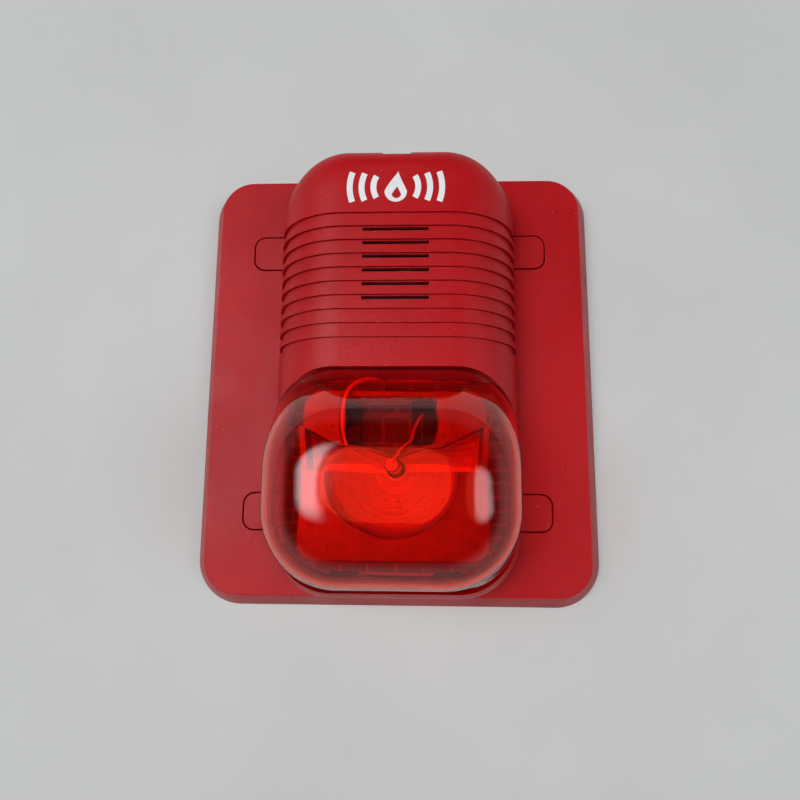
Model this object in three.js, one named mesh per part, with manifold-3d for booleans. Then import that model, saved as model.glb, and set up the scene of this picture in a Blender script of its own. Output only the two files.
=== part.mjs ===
// Wall-mount fire alarm horn strobe on a universal mounting plate.
// Frame: +Z out of the wall, +Y up the wall, +X to the right of someone facing it, in millimetres.
// The origin is the centre of the back face, which rests on the wall.

import * as THREE from "three";
import { mergeVertices } from "three/addons/utils/BufferGeometryUtils.js";
import Module from "manifold-3d";

const wasm = await Module();
wasm.setup();

// ---------------------------------------------------------------- driving dimensions

const gap = 0.3; // between pieces that touch

const plate = {
  width: 127,
  length: 143,
  thickness: 8,
  bevel: 3.8, // how far the sloped sides draw in up to the face
  lip: 1.2, // upright band at the wall
  cornerRadius: 14,
  skin: 2.5,
};

const boxScrews = { spacing: 84.8, slotWidth: 4.8, slotLength: 9.5, floor: 2.5, cupWall: 1.3 };

const wiringOpening = { cornerRadius: 4, belowBoardTop: 2.5, aboveBoardEnd: 11 };

const housing = {
  width: 74.4,
  endMargin: 4.7, // plate length left bare at each end
  face: 33.3, // front face above the wall
  wall: 2.4,
  sideRadius: 22,
  topRadius: 8,
  bottomRadius: 18,
  cornerRadius: 18,
  faceCornerRadius: 7,
};

const ear = { reach: 10.7, width: 10.9, endRadius: 3.2, thickness: 2.2, clearance: 0.45, neck: 1.2 };

const grooves = { count: 10, pitch: 4.17, width: 2.4, depth: 0.9, fromTop: 22.1 };

const louvres = { first: 1, count: 6, width: 19.4, height: 1 };

const lens = {
  length: 62,
  top: 58.7, // above the wall
  wall: 2,
  endGap: 0.4, // to the inside of the housing's lower end
  clearance: 0.3, // to the hole in the housing, at the sides
  clearanceLow: 0.45,
  clearanceTop: 0.6,
  cornerRadius: 16.5,
  shoulder: 45, // height where the dome starts to round over
  crown: 16,
  drawSide: 1.8,
  drawBottom: 3.6,
  drawTop: 6.6,
};

const reflector = {
  sideMargin: 9.4, // from the lens to the reflector, as are the next two
  topMargin: 7.3,
  bottomMargin: 9.7,
  depth: 21.5,
  wall: 1.5,
  cornerRadius: 5,
  rim: 3.5, // round the bowl
  flange: 14.8, // height of the two flanges above the back
  tip: 8.9, // from the top edge down to the outer ends of the V
  pointAbove: 2.5, // from the tube up to the point of the V
  bar: 1.2, // above the window
};

// The rings of the bowl are shares of its radius, and the step at each is a share of the rise to the next.
const bowl = { belowTube: 1, flat: 2.6, rings: [0.33, 0.51, 0.67, 0.84], step: 0.3 };

const clipWindow = { left: 15.4, right: 12, shoulder: 10.3, halfPoint: 1.3, pointAbove: 3.3 };

const tube = { radius: 2, length: 26, aboveCentre: 2.3, ferrule: 2.4 };

const wires = { trigger: 0.7, lead: 0.4, sounder: 0.45 };

const clips = {
  left: { x: -12.6, width: 4.4, length: 5.6 },
  right: { x: 8, width: 6.6, length: 6.6 },
  height: 9,
  thickness: 0.9,
  fromReflectorTop: 4.9,
};

const sounder = { radius: 17.5, wall: 1.5, portRadius: 4.5, discRadius: 15.7, ceramicRadius: 10.5 };

const board = { thickness: 1.6, cornerRadius: 13, sideRoom: 1.2 };

const cover = { thickness: 1.8, windowGap: 0.5, insetInHousing: 0.5, pastBoard: 0.4 };

const rearScrew = { shankRadius: 1.4, headRadius: 2.8, headHeight: 1.4, bite: 8, postWall: 1.5 };

const latch = { width: 6.8, thickness: 1.6, catchDepth: 0.9, catchHeight: 1.8, setBack: 3.2 };

const releaseSlot = { width: 8.7, height: 4.5, sill: 27.3 };

const hook = {
  width: 8,
  fromCentre: 16,
  stem: 2,
  toe: 1.8,
  toeThickness: 1.2,
  drop: 4.4,
  lead: 1.6,
  root: 3.7, // up the inside of the housing's end wall
  sideRoom: 0.6,
  endRoom: 0.2,
};

const terminals = { count: 4, pitch: 7.62, wall: 1.42, width: 13, floor: 2, travel: 1.4 };

const switches = { count: 3, pitch: 9.5, width: 8, travel: 3.8, carriage: 3, knob: 1.8 };

// ---------------------------------------------------------------- places worked out from them

const halfWidth = housing.width / 2;
const topEnd = plate.length / 2 - housing.endMargin;
const bottomEnd = -topEnd;
const plateFace = plate.thickness;
const seat = plateFace + gap; // underside of the housing
const screwX = halfWidth + ear.reach / 2 - 0.1;
const screwY = boxScrews.spacing / 2;
const skinUnder = plateFace - plate.skin;

const coverBack = seat + gap;
const coverFront = coverBack + cover.thickness;
const boardBack = coverFront + gap;
const boardFront = boardBack + board.thickness;
const onBoard = boardFront + gap;

const lensHalfWidth = halfWidth - housing.wall + 0.1;
const lensBottom = bottomEnd + housing.wall + lens.endGap;
const lensTopSide = lensBottom + lens.length;
const reflectorHalf = lensHalfWidth - reflector.sideMargin;
const reflectorTop = lensTopSide - reflector.topMargin;
const reflectorLow = lensBottom + reflector.bottomMargin;
const reflectorBack = onBoard + 1.6;
const reflectorFront = reflectorBack + reflector.depth;
const dishRadius = (reflectorTop - reflectorLow) / 2 - reflector.rim;
const tubeX = 0;
const tubeY = (reflectorTop + reflectorLow) / 2 + tube.aboveCentre;
const tubeBack = onBoard + tube.ferrule + gap + 0.6;
const tubeFront = tubeBack + tube.length;
const clipY = reflectorTop - clips.fromReflectorTop;
const clipTop = onBoard + clips.height;

const grooveTop = topEnd - grooves.fromTop;
const grooveY = (index) => grooveTop - index * grooves.pitch;
const louvreY = (index) => grooveY(louvres.first + index) - 0.35 * grooves.width;
const sounderY = (louvreY(0) + louvreY(louvres.count - 1)) / 2;

const tongueFront = topEnd - housing.wall - latch.setBack;
const tongueBack = tongueFront - latch.thickness;
const boardTopEdge = tongueBack - 2.6;
const boardBottomEdge = bottomEnd + housing.wall + hook.stem + 1.4;

const opening = {
  halfWidth: halfWidth - housing.wall - ear.clearance - boxScrews.cupWall - 0.2,
  top: boardTopEdge - wiringOpening.belowBoardTop,
  bottom: boardBottomEdge + wiringOpening.aboveBoardEnd,
};

const postRadius = rearScrew.shankRadius + gap + rearScrew.postWall;
const screwPlaces = [
  [opening.halfWidth - rearScrew.headRadius - 0.7, opening.top - rearScrew.headRadius - 1.2],
  [opening.halfWidth - rearScrew.headRadius - 0.7, lensTopSide + postRadius + 2.8],
].flatMap(([x, y]) => [[x, y], [-x, y]]);

// ---------------------------------------------------------------- solids and simple shapes

function solidOf(geometry) {
  const plain = new THREE.BufferGeometry();
  const source = geometry.index ? geometry.toNonIndexed() : geometry;
  plain.setAttribute("position", source.getAttribute("position").clone());
  const merged = mergeVertices(plain, 1e-4);
  return new wasm.Manifold(
    new wasm.Mesh({
      numProp: 3,
      vertProperties: merged.attributes.position.array,
      triVerts: new Uint32Array(merged.index.array),
    }),
  );
}

function geometryOf(solid) {
  const mesh = solid.getMesh();
  const positions = new Float32Array(mesh.numVert * 3);
  for (let i = 0; i < mesh.numVert; i++) {
    positions.set(mesh.vertProperties.subarray(i * mesh.numProp, i * mesh.numProp + 3), i * 3);
  }
  const geometry = new THREE.BufferGeometry();
  geometry.setAttribute("position", new THREE.BufferAttribute(positions, 3));
  geometry.setIndex(new THREE.BufferAttribute(mesh.triVerts.slice(), 1));
  return geometry;
}

const join = (...solids) => solids.reduce((sum, solid) => sum.add(solid));
const cut = (solid, ...tools) => tools.reduce((rest, tool) => rest.subtract(tool), solid);

function box(x0, x1, y0, y1, z0, z1) {
  const geometry = new THREE.BoxGeometry(x1 - x0, y1 - y0, z1 - z0);
  geometry.translate((x0 + x1) / 2, (y0 + y1) / 2, (z0 + z1) / 2);
  return solidOf(geometry);
}

function rod(x, y, z0, z1, radius, sides = 16) {
  const geometry = new THREE.CylinderGeometry(radius, radius, z1 - z0, sides);
  geometry.rotateX(Math.PI / 2);
  geometry.translate(x, y, (z0 + z1) / 2);
  return solidOf(geometry);
}

function turned(profile, x, y, sides = 32) {
  const geometry = new THREE.LatheGeometry(
    profile.map(([radius, z]) => new THREE.Vector2(radius, z)),
    sides,
  );
  geometry.rotateX(Math.PI / 2);
  geometry.translate(x, y, 0);
  return solidOf(geometry);
}

function roundedRectangle(x0, x1, y0, y1, radius) {
  const shape = new THREE.Shape();
  shape.absarc(x1 - radius, y1 - radius, radius, 0, Math.PI / 2);
  shape.absarc(x0 + radius, y1 - radius, radius, Math.PI / 2, Math.PI);
  shape.absarc(x0 + radius, y0 + radius, radius, Math.PI, 1.5 * Math.PI);
  shape.absarc(x1 - radius, y0 + radius, radius, 1.5 * Math.PI, 2 * Math.PI);
  return shape;
}

// A tongue from a square end at xIn to a round-cornered end at xOut.
function tab(xIn, xOut, y0, y1, radius) {
  const toEnd = Math.sign(xOut - xIn);
  const corner = xOut - toEnd * radius;
  const shape = new THREE.Shape();
  shape.moveTo(xIn, y0);
  shape.lineTo(corner, y0);
  shape.absarc(corner, y0 + radius, radius, -Math.PI / 2, toEnd > 0 ? 0 : -Math.PI, toEnd < 0);
  shape.absarc(corner, y1 - radius, radius, toEnd > 0 ? 0 : Math.PI, Math.PI / 2, toEnd < 0);
  shape.lineTo(xIn, y1);
  return shape;
}

function prism(shape, z0, z1, curveSegments = 3) {
  const geometry = new THREE.ExtrudeGeometry(shape, { depth: z1 - z0, bevelEnabled: false, curveSegments });
  geometry.translate(0, 0, z0);
  return solidOf(geometry);
}

// A shape drawn in (y, z) and run along X.
function alongX(points, x0, x1) {
  const shape = new THREE.Shape(points.map(([y, z]) => new THREE.Vector2(y, z)));
  const geometry = new THREE.ExtrudeGeometry(shape, { depth: x1 - x0, bevelEnabled: false });
  geometry.applyMatrix4(
    new THREE.Matrix4().makeBasis(
      new THREE.Vector3(0, 1, 0),
      new THREE.Vector3(0, 0, 1),
      new THREE.Vector3(1, 0, 0),
    ),
  );
  geometry.translate(x0, 0, 0);
  return solidOf(geometry);
}

function wire(points, radius, steps) {
  const curve = new THREE.CatmullRomCurve3(points.map((p) => new THREE.Vector3(...p)));
  const section = new THREE.Shape();
  section.absarc(0, 0, radius, 0, 2 * Math.PI);
  const geometry = new THREE.ExtrudeGeometry(section, {
    steps,
    extrudePath: curve,
    curveSegments: 4,
    bevelEnabled: false,
  });
  return solidOf(geometry);
}

// The corner points of a rounded rectangle, always the same number of them.
function outline({ x0, x1, y0, y1, radius }, perCorner = 7) {
  const centres = [[x1, y1, -1, -1], [x0, y1, 1, -1], [x0, y0, 1, 1], [x1, y0, -1, 1]];
  return centres.flatMap(([x, y, inX, inY], corner) =>
    Array.from({ length: perCorner + 1 }, (_, i) => {
      const angle = ((corner + i / perCorner) * Math.PI) / 2;
      return [
        x + radius * (inX + Math.cos(angle)),
        y + radius * (inY + Math.sin(angle)),
      ];
    }),
  );
}

// A closed skin over a stack of outlines; each level is a rounded rectangle with its height z.
function loft(levels, perCorner) {
  const rings = levels.map((level) => outline(level, perCorner).map(([x, y]) => [x, y, level.z]));
  const count = rings[0].length;
  const positions = [];
  const quad = (a, b, c, d) => positions.push(...a, ...b, ...c, ...a, ...c, ...d);
  for (let k = 0; k + 1 < rings.length; k++) {
    for (let i = 0; i < count; i++) {
      const next = (i + 1) % count;
      quad(rings[k][i], rings[k][next], rings[k + 1][next], rings[k + 1][i]);
    }
  }
  const last = rings.length - 1;
  for (let i = 1; i + 1 < count; i++) {
    positions.push(...rings[0][0], ...rings[0][i + 1], ...rings[0][i]);
    positions.push(...rings[last][0], ...rings[last][i], ...rings[last][i + 1]);
  }
  const geometry = new THREE.BufferGeometry();
  geometry.setAttribute("position", new THREE.Float32BufferAttribute(positions, 3));
  return solidOf(geometry);
}

const quarter = (steps) => Array.from({ length: steps }, (_, k) => ((k + 1) * Math.PI) / (2 * steps));

const finish = {
  red: { color: 0x9c0d16, roughness: 0.42, metalness: 0 },
  clearRed: { color: 0xc41420, roughness: 0.08, metalness: 0, transparent: true, opacity: 0.55 },
  mirror: { color: 0xd9d9dc, roughness: 0.12, metalness: 1 },
  glass: { color: 0xe8eef2, roughness: 0.05, metalness: 0, transparent: true, opacity: 0.5 },
  steel: { color: 0xb4b6b8, roughness: 0.35, metalness: 1 },
  brass: { color: 0xb8923f, roughness: 0.3, metalness: 1 },
  black: { color: 0x141416, roughness: 0.5, metalness: 0 },
  greyPlastic: { color: 0x5c5350, roughness: 0.6, metalness: 0 },
  white: { color: 0xdedcd6, roughness: 0.5, metalness: 0 },
  green: { color: 0x1e5a34, roughness: 0.45, metalness: 0 },
  redLead: { color: 0xb01a1a, roughness: 0.5, metalness: 0 },
};

function piece(name, solid, look) {
  const mesh = new THREE.Mesh(geometryOf(solid), new THREE.MeshStandardMaterial(finish[look]));
  mesh.name = name;
  return mesh;
}

// ---------------------------------------------------------------- mounting plate

function plateBody(inset) {
  const halfX = plate.width / 2 - inset;
  const halfY = plate.length / 2 - inset;
  const draw = inset ? (plate.bevel * (skinUnder - plate.lip)) / (plateFace - plate.lip) : plate.bevel;
  const level = (z, drawIn) => ({
    x0: drawIn - halfX,
    x1: halfX - drawIn,
    y0: drawIn - halfY,
    y1: halfY - drawIn,
    radius: plate.cornerRadius - inset - drawIn,
    z,
  });
  const base = inset ? -1 : 0;
  const top = inset ? skinUnder : plateFace;
  return loft([level(base, 0), level(plate.lip, 0), level(top, draw)], 6);
}

function plateSolid() {
  const outer = plateBody(0);
  const slope = plate.bevel / (plateFace - plate.lip);
  let solid = cut(outer, plateBody(plate.skin * Math.hypot(1, slope)));
  solid = cut(
    solid,
    prism(
      roundedRectangle(
        -opening.halfWidth,
        opening.halfWidth,
        opening.bottom,
        opening.top,
        wiringOpening.cornerRadius,
      ),
      0,
      plateFace + 1,
      2,
    ),
  );
  const pocketIn = halfWidth - housing.wall - ear.clearance;
  const pocketOut = halfWidth + ear.reach + ear.clearance;
  const pocketHalf = ear.width / 2 + ear.clearance;
  for (const side of [-1, 1]) {
    for (const end of [-1, 1]) {
      const y0 = end * screwY - pocketHalf;
      const y1 = end * screwY + pocketHalf;
      const wall = boxScrews.cupWall;
      const radius = ear.endRadius + ear.clearance;
      const cup = prism(
        tab(side * (pocketIn - wall), side * (pocketOut + wall), y0 - wall, y1 + wall, radius + wall),
        0,
        plateFace,
      ).intersect(outer);
      const pocket = prism(
        tab(side * pocketIn, side * pocketOut, y0, y1, radius),
        boxScrews.floor,
        plateFace + 1,
      );
      const halfSlot = boxScrews.slotLength / 2;
      const slotRadius = boxScrews.slotWidth / 2;
      const slot = prism(
        roundedRectangle(
          side * screwX - halfSlot,
          side * screwX + halfSlot,
          end * screwY - slotRadius,
          end * screwY + slotRadius,
          slotRadius * 0.999,
        ),
        -1,
        boxScrews.floor + 1,
        2,
      );
      solid = cut(join(solid, cup), pocket, slot);
    }
  }
  const inner = bottomEnd + housing.wall;
  for (const side of [-1, 1]) {
    const x = side * hook.fromCentre;
    const half = hook.width / 2 + hook.sideRoom;
    const y0 = inner - hook.endRoom;
    const y1 = inner + hook.endRoom + hook.stem + hook.lead;
    solid = cut(solid, box(x - half, x + half, y0, y1, 0, plateFace + 1));
  }
  return solid;
}

// The springy catch at the top end, with its barb in the screwdriver slot of the housing.
function latchSolid() {
  const top = releaseSlot.sill + gap + latch.catchHeight;
  const inner = topEnd - housing.wall;
  const half = latch.width / 2;
  const foot = box(-half - 2, half + 2, tongueBack - 1.2, tongueFront + 1.4, seat, seat + 1.8);
  const barbTip = inner + latch.catchDepth;
  const blade = alongX(
    [
      [tongueBack, seat],
      [tongueFront, seat],
      [tongueFront, releaseSlot.sill + gap],
      [barbTip, releaseSlot.sill + gap],
      [barbTip, releaseSlot.sill + gap + 0.6],
      [tongueFront, top],
      [tongueBack, top],
    ],
    -half,
    half,
  );
  return join(foot, blade);
}

// ---------------------------------------------------------------- housing

// How far a rounded edge of this radius has drawn in at height z below a face at the given height.
function drawIn(z, face, radius) {
  const above = z - (face - radius);
  return above <= 0 ? 0 : radius - Math.sqrt(Math.max(0, radius * radius - above * above));
}

function housingBody(inset, base) {
  const face = housing.face - inset;
  const side = housing.sideRadius - inset;
  const heights = [base, face - side, ...quarter(6).map((angle) => face - side + side * Math.sin(angle))];
  const levels = heights.map((z) => {
    const x = halfWidth - inset - drawIn(z, face, side);
    const share = drawIn(z, face, side) / side;
    return {
      x0: -x,
      x1: x,
      y0: bottomEnd + inset + drawIn(z, face, housing.bottomRadius - inset),
      y1: topEnd - inset - drawIn(z, face, housing.topRadius - inset),
      radius: housing.cornerRadius - inset + (housing.faceCornerRadius - housing.cornerRadius) * share,
      z,
    };
  });
  return loft(levels, 5);
}

function grooveCuts(outer) {
  const rims = cut(outer, housingBody(grooves.depth, 0));
  const reach = halfWidth + 1;
  const slabs = Array.from({ length: grooves.count }, (_, i) =>
    box(-reach, reach, grooveY(i) - grooves.width, grooveY(i), 0, housing.face + 1),
  );
  return rims.intersect(join(...slabs));
}

function louvreCut(index) {
  const half = louvres.width / 2;
  const y = louvreY(index);
  const inner = housing.face - housing.wall - 1;
  return box(-half, half, y - louvres.height / 2, y + louvres.height / 2, inner, housing.face + 1);
}

function earSolid(side, end) {
  const tip = side * (halfWidth + ear.reach);
  const root = side * (halfWidth - housing.wall);
  const y0 = end * screwY - ear.width / 2;
  const y1 = end * screwY + ear.width / 2;
  const z0 = plateFace - ear.thickness;
  const arm = prism(tab(root, tip, y0, y1, ear.endRadius), z0, plateFace);
  const x0 = side > 0 ? root : -halfWidth;
  const neck = box(x0, x0 + housing.wall, y0, y1, z0, seat + ear.neck);
  return join(arm, neck);
}

// A hook whose toe points out under the plate's skin, so that it draws out as the housing tilts.
function hookSolid(side) {
  const inner = bottomEnd + housing.wall;
  const stemOut = inner + hook.endRoom;
  const stemIn = stemOut + hook.stem;
  const low = plateFace - hook.drop;
  const profile = [
    [stemOut - hook.toe, low],
    [stemIn, low],
    [stemIn, seat + hook.root],
    [inner - 1, seat + hook.root],
    [inner - 1, seat],
    [stemOut, seat],
    [stemOut, low + hook.toeThickness],
    [stemOut - hook.toe, low + hook.toeThickness],
  ];
  const x = side * hook.fromCentre;
  return alongX(profile, x - hook.width / 2, x + hook.width / 2);
}

function lensHole() {
  const c = lens.clearance;
  const shape = roundedRectangle(
    -lensHalfWidth - c,
    lensHalfWidth + c,
    lensBottom - lens.clearanceLow,
    lensTopSide + lens.clearanceTop,
    lens.cornerRadius + lens.clearance,
  );
  return prism(shape, onBoard - 0.6, lens.top + 1, 4);
}

const lugs = {
  halfWidth: 4,
  fromCentre: 12,
  reach: 1.2,
  topZ: housing.face - housing.wall - 0.6,
  topThickness: 2.4,
  lowZ: onBoard + 0.6,
  lowThickness: 2,
};

function lugRecess(side) {
  const x = side * lugs.fromCentre;
  const half = lugs.halfWidth + 0.4;
  return box(
    x - half,
    x + half,
    lensBottom - lugs.reach - 0.4,
    lensBottom + 1,
    lugs.lowZ - 0.4,
    lugs.lowZ + lugs.lowThickness + gap,
  );
}

function housingSolid() {
  const outer = housingBody(0, seat);
  const inner = housingBody(housing.wall, 0);
  let solid = cut(outer, inner);
  const core = housingBody(1, seat);
  for (const [x, y] of screwPlaces) {
    solid = join(solid, rod(x, y, onBoard, housing.face, postRadius).intersect(core));
  }
  solid = cut(solid, grooveCuts(outer));
  for (let i = 0; i < louvres.count; i++) solid = cut(solid, louvreCut(i));
  const half = releaseSlot.width / 2;
  const sill = releaseSlot.sill;
  solid = cut(
    solid,
    box(-half, half, topEnd - housing.topRadius, topEnd + 1, sill, sill + releaseSlot.height),
    lensHole(),
    lugRecess(-1),
    lugRecess(1),
  );
  for (const [x, y] of screwPlaces) {
    const pilot = rearScrew.shankRadius + gap;
    solid = cut(solid, rod(x, y, onBoard - 1, onBoard + rearScrew.bite + gap, pilot, 12));
  }
  for (const side of [-1, 1]) {
    solid = join(solid, earSolid(side, -1), earSolid(side, 1), hookSolid(side));
  }
  return solid;
}

// ---------------------------------------------------------------- lens

function lensBody(inset, base) {
  const level = (z, side, low, high, radius) => ({
    x0: -(lensHalfWidth - side - inset),
    x1: lensHalfWidth - side - inset,
    y0: lensBottom + low + inset,
    y1: lensTopSide - high - inset,
    radius: radius - inset,
    z,
  });
  const radius = lens.cornerRadius;
  const rise = (lens.shoulder - housing.face) / (lens.shoulder - onBoard);
  const top = lens.top - inset;
  const height = top - lens.shoulder;
  const dome = quarter(6).map((angle) => {
    const draw = lens.crown * (1 - Math.cos(angle));
    return level(
      lens.shoulder + height * Math.sin(angle),
      lens.drawSide + draw,
      lens.drawBottom + draw,
      lens.drawTop + draw,
      radius - 0.45 * draw,
    );
  });
  return loft(
    [
      level(base, 0, 0, 0, radius),
      level(housing.face, lens.drawSide * (1 - rise), lens.drawBottom * (1 - rise), 0, radius),
      level(lens.shoulder, lens.drawSide, lens.drawBottom, lens.drawTop, radius),
      ...dome,
    ],
    6,
  );
}

function lensSolid() {
  let solid = lensBody(0, onBoard);
  for (const side of [-1, 1]) {
    const x0 = side * lugs.fromCentre - lugs.halfWidth;
    const x1 = x0 + 2 * lugs.halfWidth;
    const high = lugs.topZ;
    const low = lugs.lowZ;
    solid = join(
      solid,
      box(x0, x1, lensTopSide - 1, lensTopSide + 2 * lugs.reach, high - lugs.topThickness, high),
      box(x0, x1, lensBottom - lugs.reach, lensBottom + 1, low, low + lugs.lowThickness),
    );
  }
  return cut(solid, lensBody(lens.wall, onBoard - 1));
}

// ---------------------------------------------------------------- strobe inside the lens

const flangeTipY = reflectorTop - reflector.tip;
const flangePointY = tubeY + reflector.pointAbove;

// The height along Y of the edge of the flanges, which slopes to a V at the tube.
function flangeEdgeY(x) {
  const share = 1 - Math.abs(x) / reflectorHalf;
  return flangeTipY + share * (flangePointY - flangeTipY);
}

// Ring by ring up the hollow of the reflector: a curve with a small step at each ring.
function hollowSteps(floor) {
  const depth = reflectorFront - floor;
  const rings = [bowl.flat, ...bowl.rings.map((share) => share * dishRadius), dishRadius];
  const height = (radius) => floor + depth * (radius / dishRadius) ** 2;
  const steps = [[bowl.flat, floor]];
  for (let i = 0; i + 1 < rings.length; i++) {
    const start = height(rings[i]) + bowl.step * (height(rings[i + 1]) - height(rings[i]));
    steps.push([rings[i] + 0.1, start], [rings[i + 1], height(rings[i + 1])]);
  }
  return steps;
}

function plainPrism(corners, z0, z1) {
  return prism(new THREE.Shape(corners.map(([x, y]) => new THREE.Vector2(x, y))), z0, z1);
}

// A metallised block with half a bowl below the tube, half a trough above it to both sides, two flanges
// that meet in a V over the trough, and a window for the clips between the flanges.
function reflectorSolid() {
  const half = reflectorHalf;
  const floor = reflectorBack + reflector.wall;
  const open = reflectorFront + 1;
  const bowlY = tubeY - bowl.belowTube;
  const steps = hollowSteps(floor);
  const outer = prism(
    roundedRectangle(-half, half, reflectorLow, reflectorTop, reflector.cornerRadius),
    reflectorBack,
    reflectorFront,
    2,
  );
  const round = turned([[0, floor], ...steps, [dishRadius, open], [0, open]], tubeX, bowlY, 32);
  const lowerHalf = box(-half, half, bowlY - dishRadius - 1, bowlY, 0, open + 1);
  const profile = steps.map(([radius, z]) => [bowlY + radius, z]);
  const trough = alongX(
    [[bowlY - 0.1, floor], ...profile, [bowlY + dishRadius, open], [bowlY - 0.1, open]],
    reflector.wall - half,
    half - reflector.wall,
  );
  const flanges = (z0) =>
    plainPrism(
      [
        [-half - 1, reflectorTop + 1],
        [-half - 1, flangeTipY],
        [-1, flangePointY],
        [1, flangePointY],
        [half + 1, flangeTipY],
        [half + 1, reflectorTop + 1],
      ],
      z0,
      open,
    );
  const shoulderY = reflectorTop - clipWindow.shoulder;
  const window = plainPrism(
    [
      [-clipWindow.left, reflectorTop - reflector.bar],
      [-clipWindow.left, shoulderY],
      [-clipWindow.halfPoint, tubeY + clipWindow.pointAbove],
      [clipWindow.halfPoint, tubeY + clipWindow.pointAbove],
      [clipWindow.right, shoulderY],
      [clipWindow.right, reflectorTop - reflector.bar],
    ],
    reflectorBack - 1,
    open,
  );
  const tubeHole = rod(tubeX, tubeY, reflectorBack - 1, floor + 2, tube.radius + 0.8, 16);
  return cut(
    outer,
    round.intersect(lowerHalf),
    cut(trough, flanges(reflectorBack)),
    flanges(reflectorBack + reflector.flange),
    window,
    tubeHole,
  );
}

function tubeSolid() {
  const end = 0.6 * tube.radius;
  return turned(
    [
      [0, tubeBack],
      [end, tubeBack],
      [tube.radius, tubeBack + 0.8],
      [tube.radius, tubeFront - 0.8],
      [end, tubeFront],
      [0, tubeFront],
    ],
    tubeX,
    tubeY,
    16,
  );
}

function ferruleSolid(z0) {
  const radius = tube.radius - 0.3;
  return turned(
    [
      [0, z0],
      [radius - 0.4, z0],
      [radius, z0 + 0.4],
      [radius, z0 + tube.ferrule - 0.4],
      [radius - 0.4, z0 + tube.ferrule],
      [0, z0 + tube.ferrule],
    ],
    tubeX,
    tubeY,
    12,
  );
}

// A folded spring clip standing on the circuit board: two legs, a base and a turned-over lip.
function clipSolid({ x, width, length }) {
  const low = clipY - length / 2;
  const high = clipY + length / 2;
  const t = clips.thickness;
  const profile = [
    [low, onBoard],
    [high, onBoard],
    [high, clipTop],
    [high - t, clipTop],
    [high - t, onBoard + t],
    [low + t, onBoard + t],
    [low + t, clipTop - 1.6],
    [low + 2 * t, clipTop - 1.6],
    [low + 2 * t, clipTop - 0.7],
    [low, clipTop - 0.7],
  ];
  return alongX(profile, x - width / 2, x + width / 2);
}

// The stiff trigger wire: up from the board behind the reflector, over its left flange, down to the tube.
function triggerWireSolid() {
  const x = clips.left.x;
  const side = lensTopSide - lens.wall;
  const over = reflectorBack + reflector.flange + gap + wires.trigger;
  const route = [
    [x + 8.5, side - 1.6, onBoard + 0.8],
    [x + 7.6, side - 1.6, over - 4.6],
    [x + 3, side - 2.4, over - 0.2],
    [x - 0.2, reflectorTop + 0.3, over + 1],
    [x - 1.6, reflectorTop - 3.7, over + 1.2],
    [x - 1.4, clipY - 3.8, over + 1],
    [x - 0.4, flangeEdgeY(x) - 1, over + 0.3],
    [x + 5, flangeEdgeY(x + 5) - 2.7, over - 1.6],
    [tubeX - tube.radius - wires.trigger - gap, tubeY - 0.4, over - 3],
  ];
  return wire(route, wires.trigger, 28);
}

function tubeLeadSolid() {
  const x = clips.right.x;
  const tip = tubeFront + gap + tube.ferrule + wires.lead + 0.5;
  const route = [
    [x, clipY, onBoard + clips.thickness + gap],
    [x, clipY, clipTop + 2],
    [x - 2.6, clipY - 5, tubeFront - 4],
    [tubeX + 1.4, tubeY + 2.6, tip - 1],
    [tubeX, tubeY, tip],
  ];
  return wire(route, wires.lead, 18);
}

// ---------------------------------------------------------------- sounder

const cupFront = housing.face - housing.wall - 1.9;
const discSeat = cupFront - 7.8;

function sounderCupSolid() {
  const outer = sounder.radius;
  const bore = sounder.discRadius + gap;
  const chamber = sounder.discRadius - 1.2;
  const back = discSeat - 5;
  let solid = turned(
    [
      [bore, back],
      [outer, back],
      [outer, cupFront - 0.6],
      [outer - 0.6, cupFront],
      [sounder.portRadius, cupFront],
      [sounder.portRadius, cupFront - sounder.wall],
      [chamber, cupFront - sounder.wall],
      [chamber, discSeat],
      [bore, discSeat],
      [bore, back],
    ],
    0,
    sounderY,
    32,
  );
  const legRadius = (outer - bore) / 2;
  for (let i = 0; i < 3; i++) {
    const angle = ((i + 0.25) * 2 * Math.PI) / 3;
    const reach = bore + legRadius;
    const x = reach * Math.cos(angle);
    const y = sounderY + reach * Math.sin(angle);
    solid = join(solid, rod(x, y, onBoard, back + 1, legRadius, 10));
  }
  return solid;
}

const disc = { thickness: 0.3, ceramic: 0.25 };
const discBack = discSeat - gap - disc.thickness;
const ceramicBack = discBack - gap - disc.ceramic;
const ringFront = discBack - gap;

function retainingRingSolid() {
  const outer = sounder.discRadius;
  const inner = outer - 2.4;
  const depth = 2.4;
  return turned(
    [
      [inner, ringFront - depth],
      [outer, ringFront - depth],
      [outer, ringFront],
      [inner, ringFront],
      [inner, ringFront - depth],
    ],
    0,
    sounderY,
    32,
  );
}

function sounderWireSolid(x, landing) {
  return wire(
    [
      [x, sounderY, ceramicBack - gap],
      [x + 0.4 * landing, sounderY - 2, ceramicBack - 3],
      [x + landing, sounderY - 5, onBoard + 2.4],
      [x + landing, sounderY - 5.4, onBoard],
    ],
    wires.sounder,
    12,
  );
}

// ---------------------------------------------------------------- circuit board and what is on it

function boardSolid() {
  const half = halfWidth - housing.wall - board.sideRoom;
  let solid = prism(
    roundedRectangle(-half, half, boardBottomEdge, boardTopEdge, board.cornerRadius),
    boardBack,
    boardFront,
  );
  for (const [x, y] of screwPlaces) {
    solid = cut(solid, rod(x, y, boardBack - 1, boardFront + 1, rearScrew.shankRadius + 0.5, 12));
  }
  return solid;
}

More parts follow.
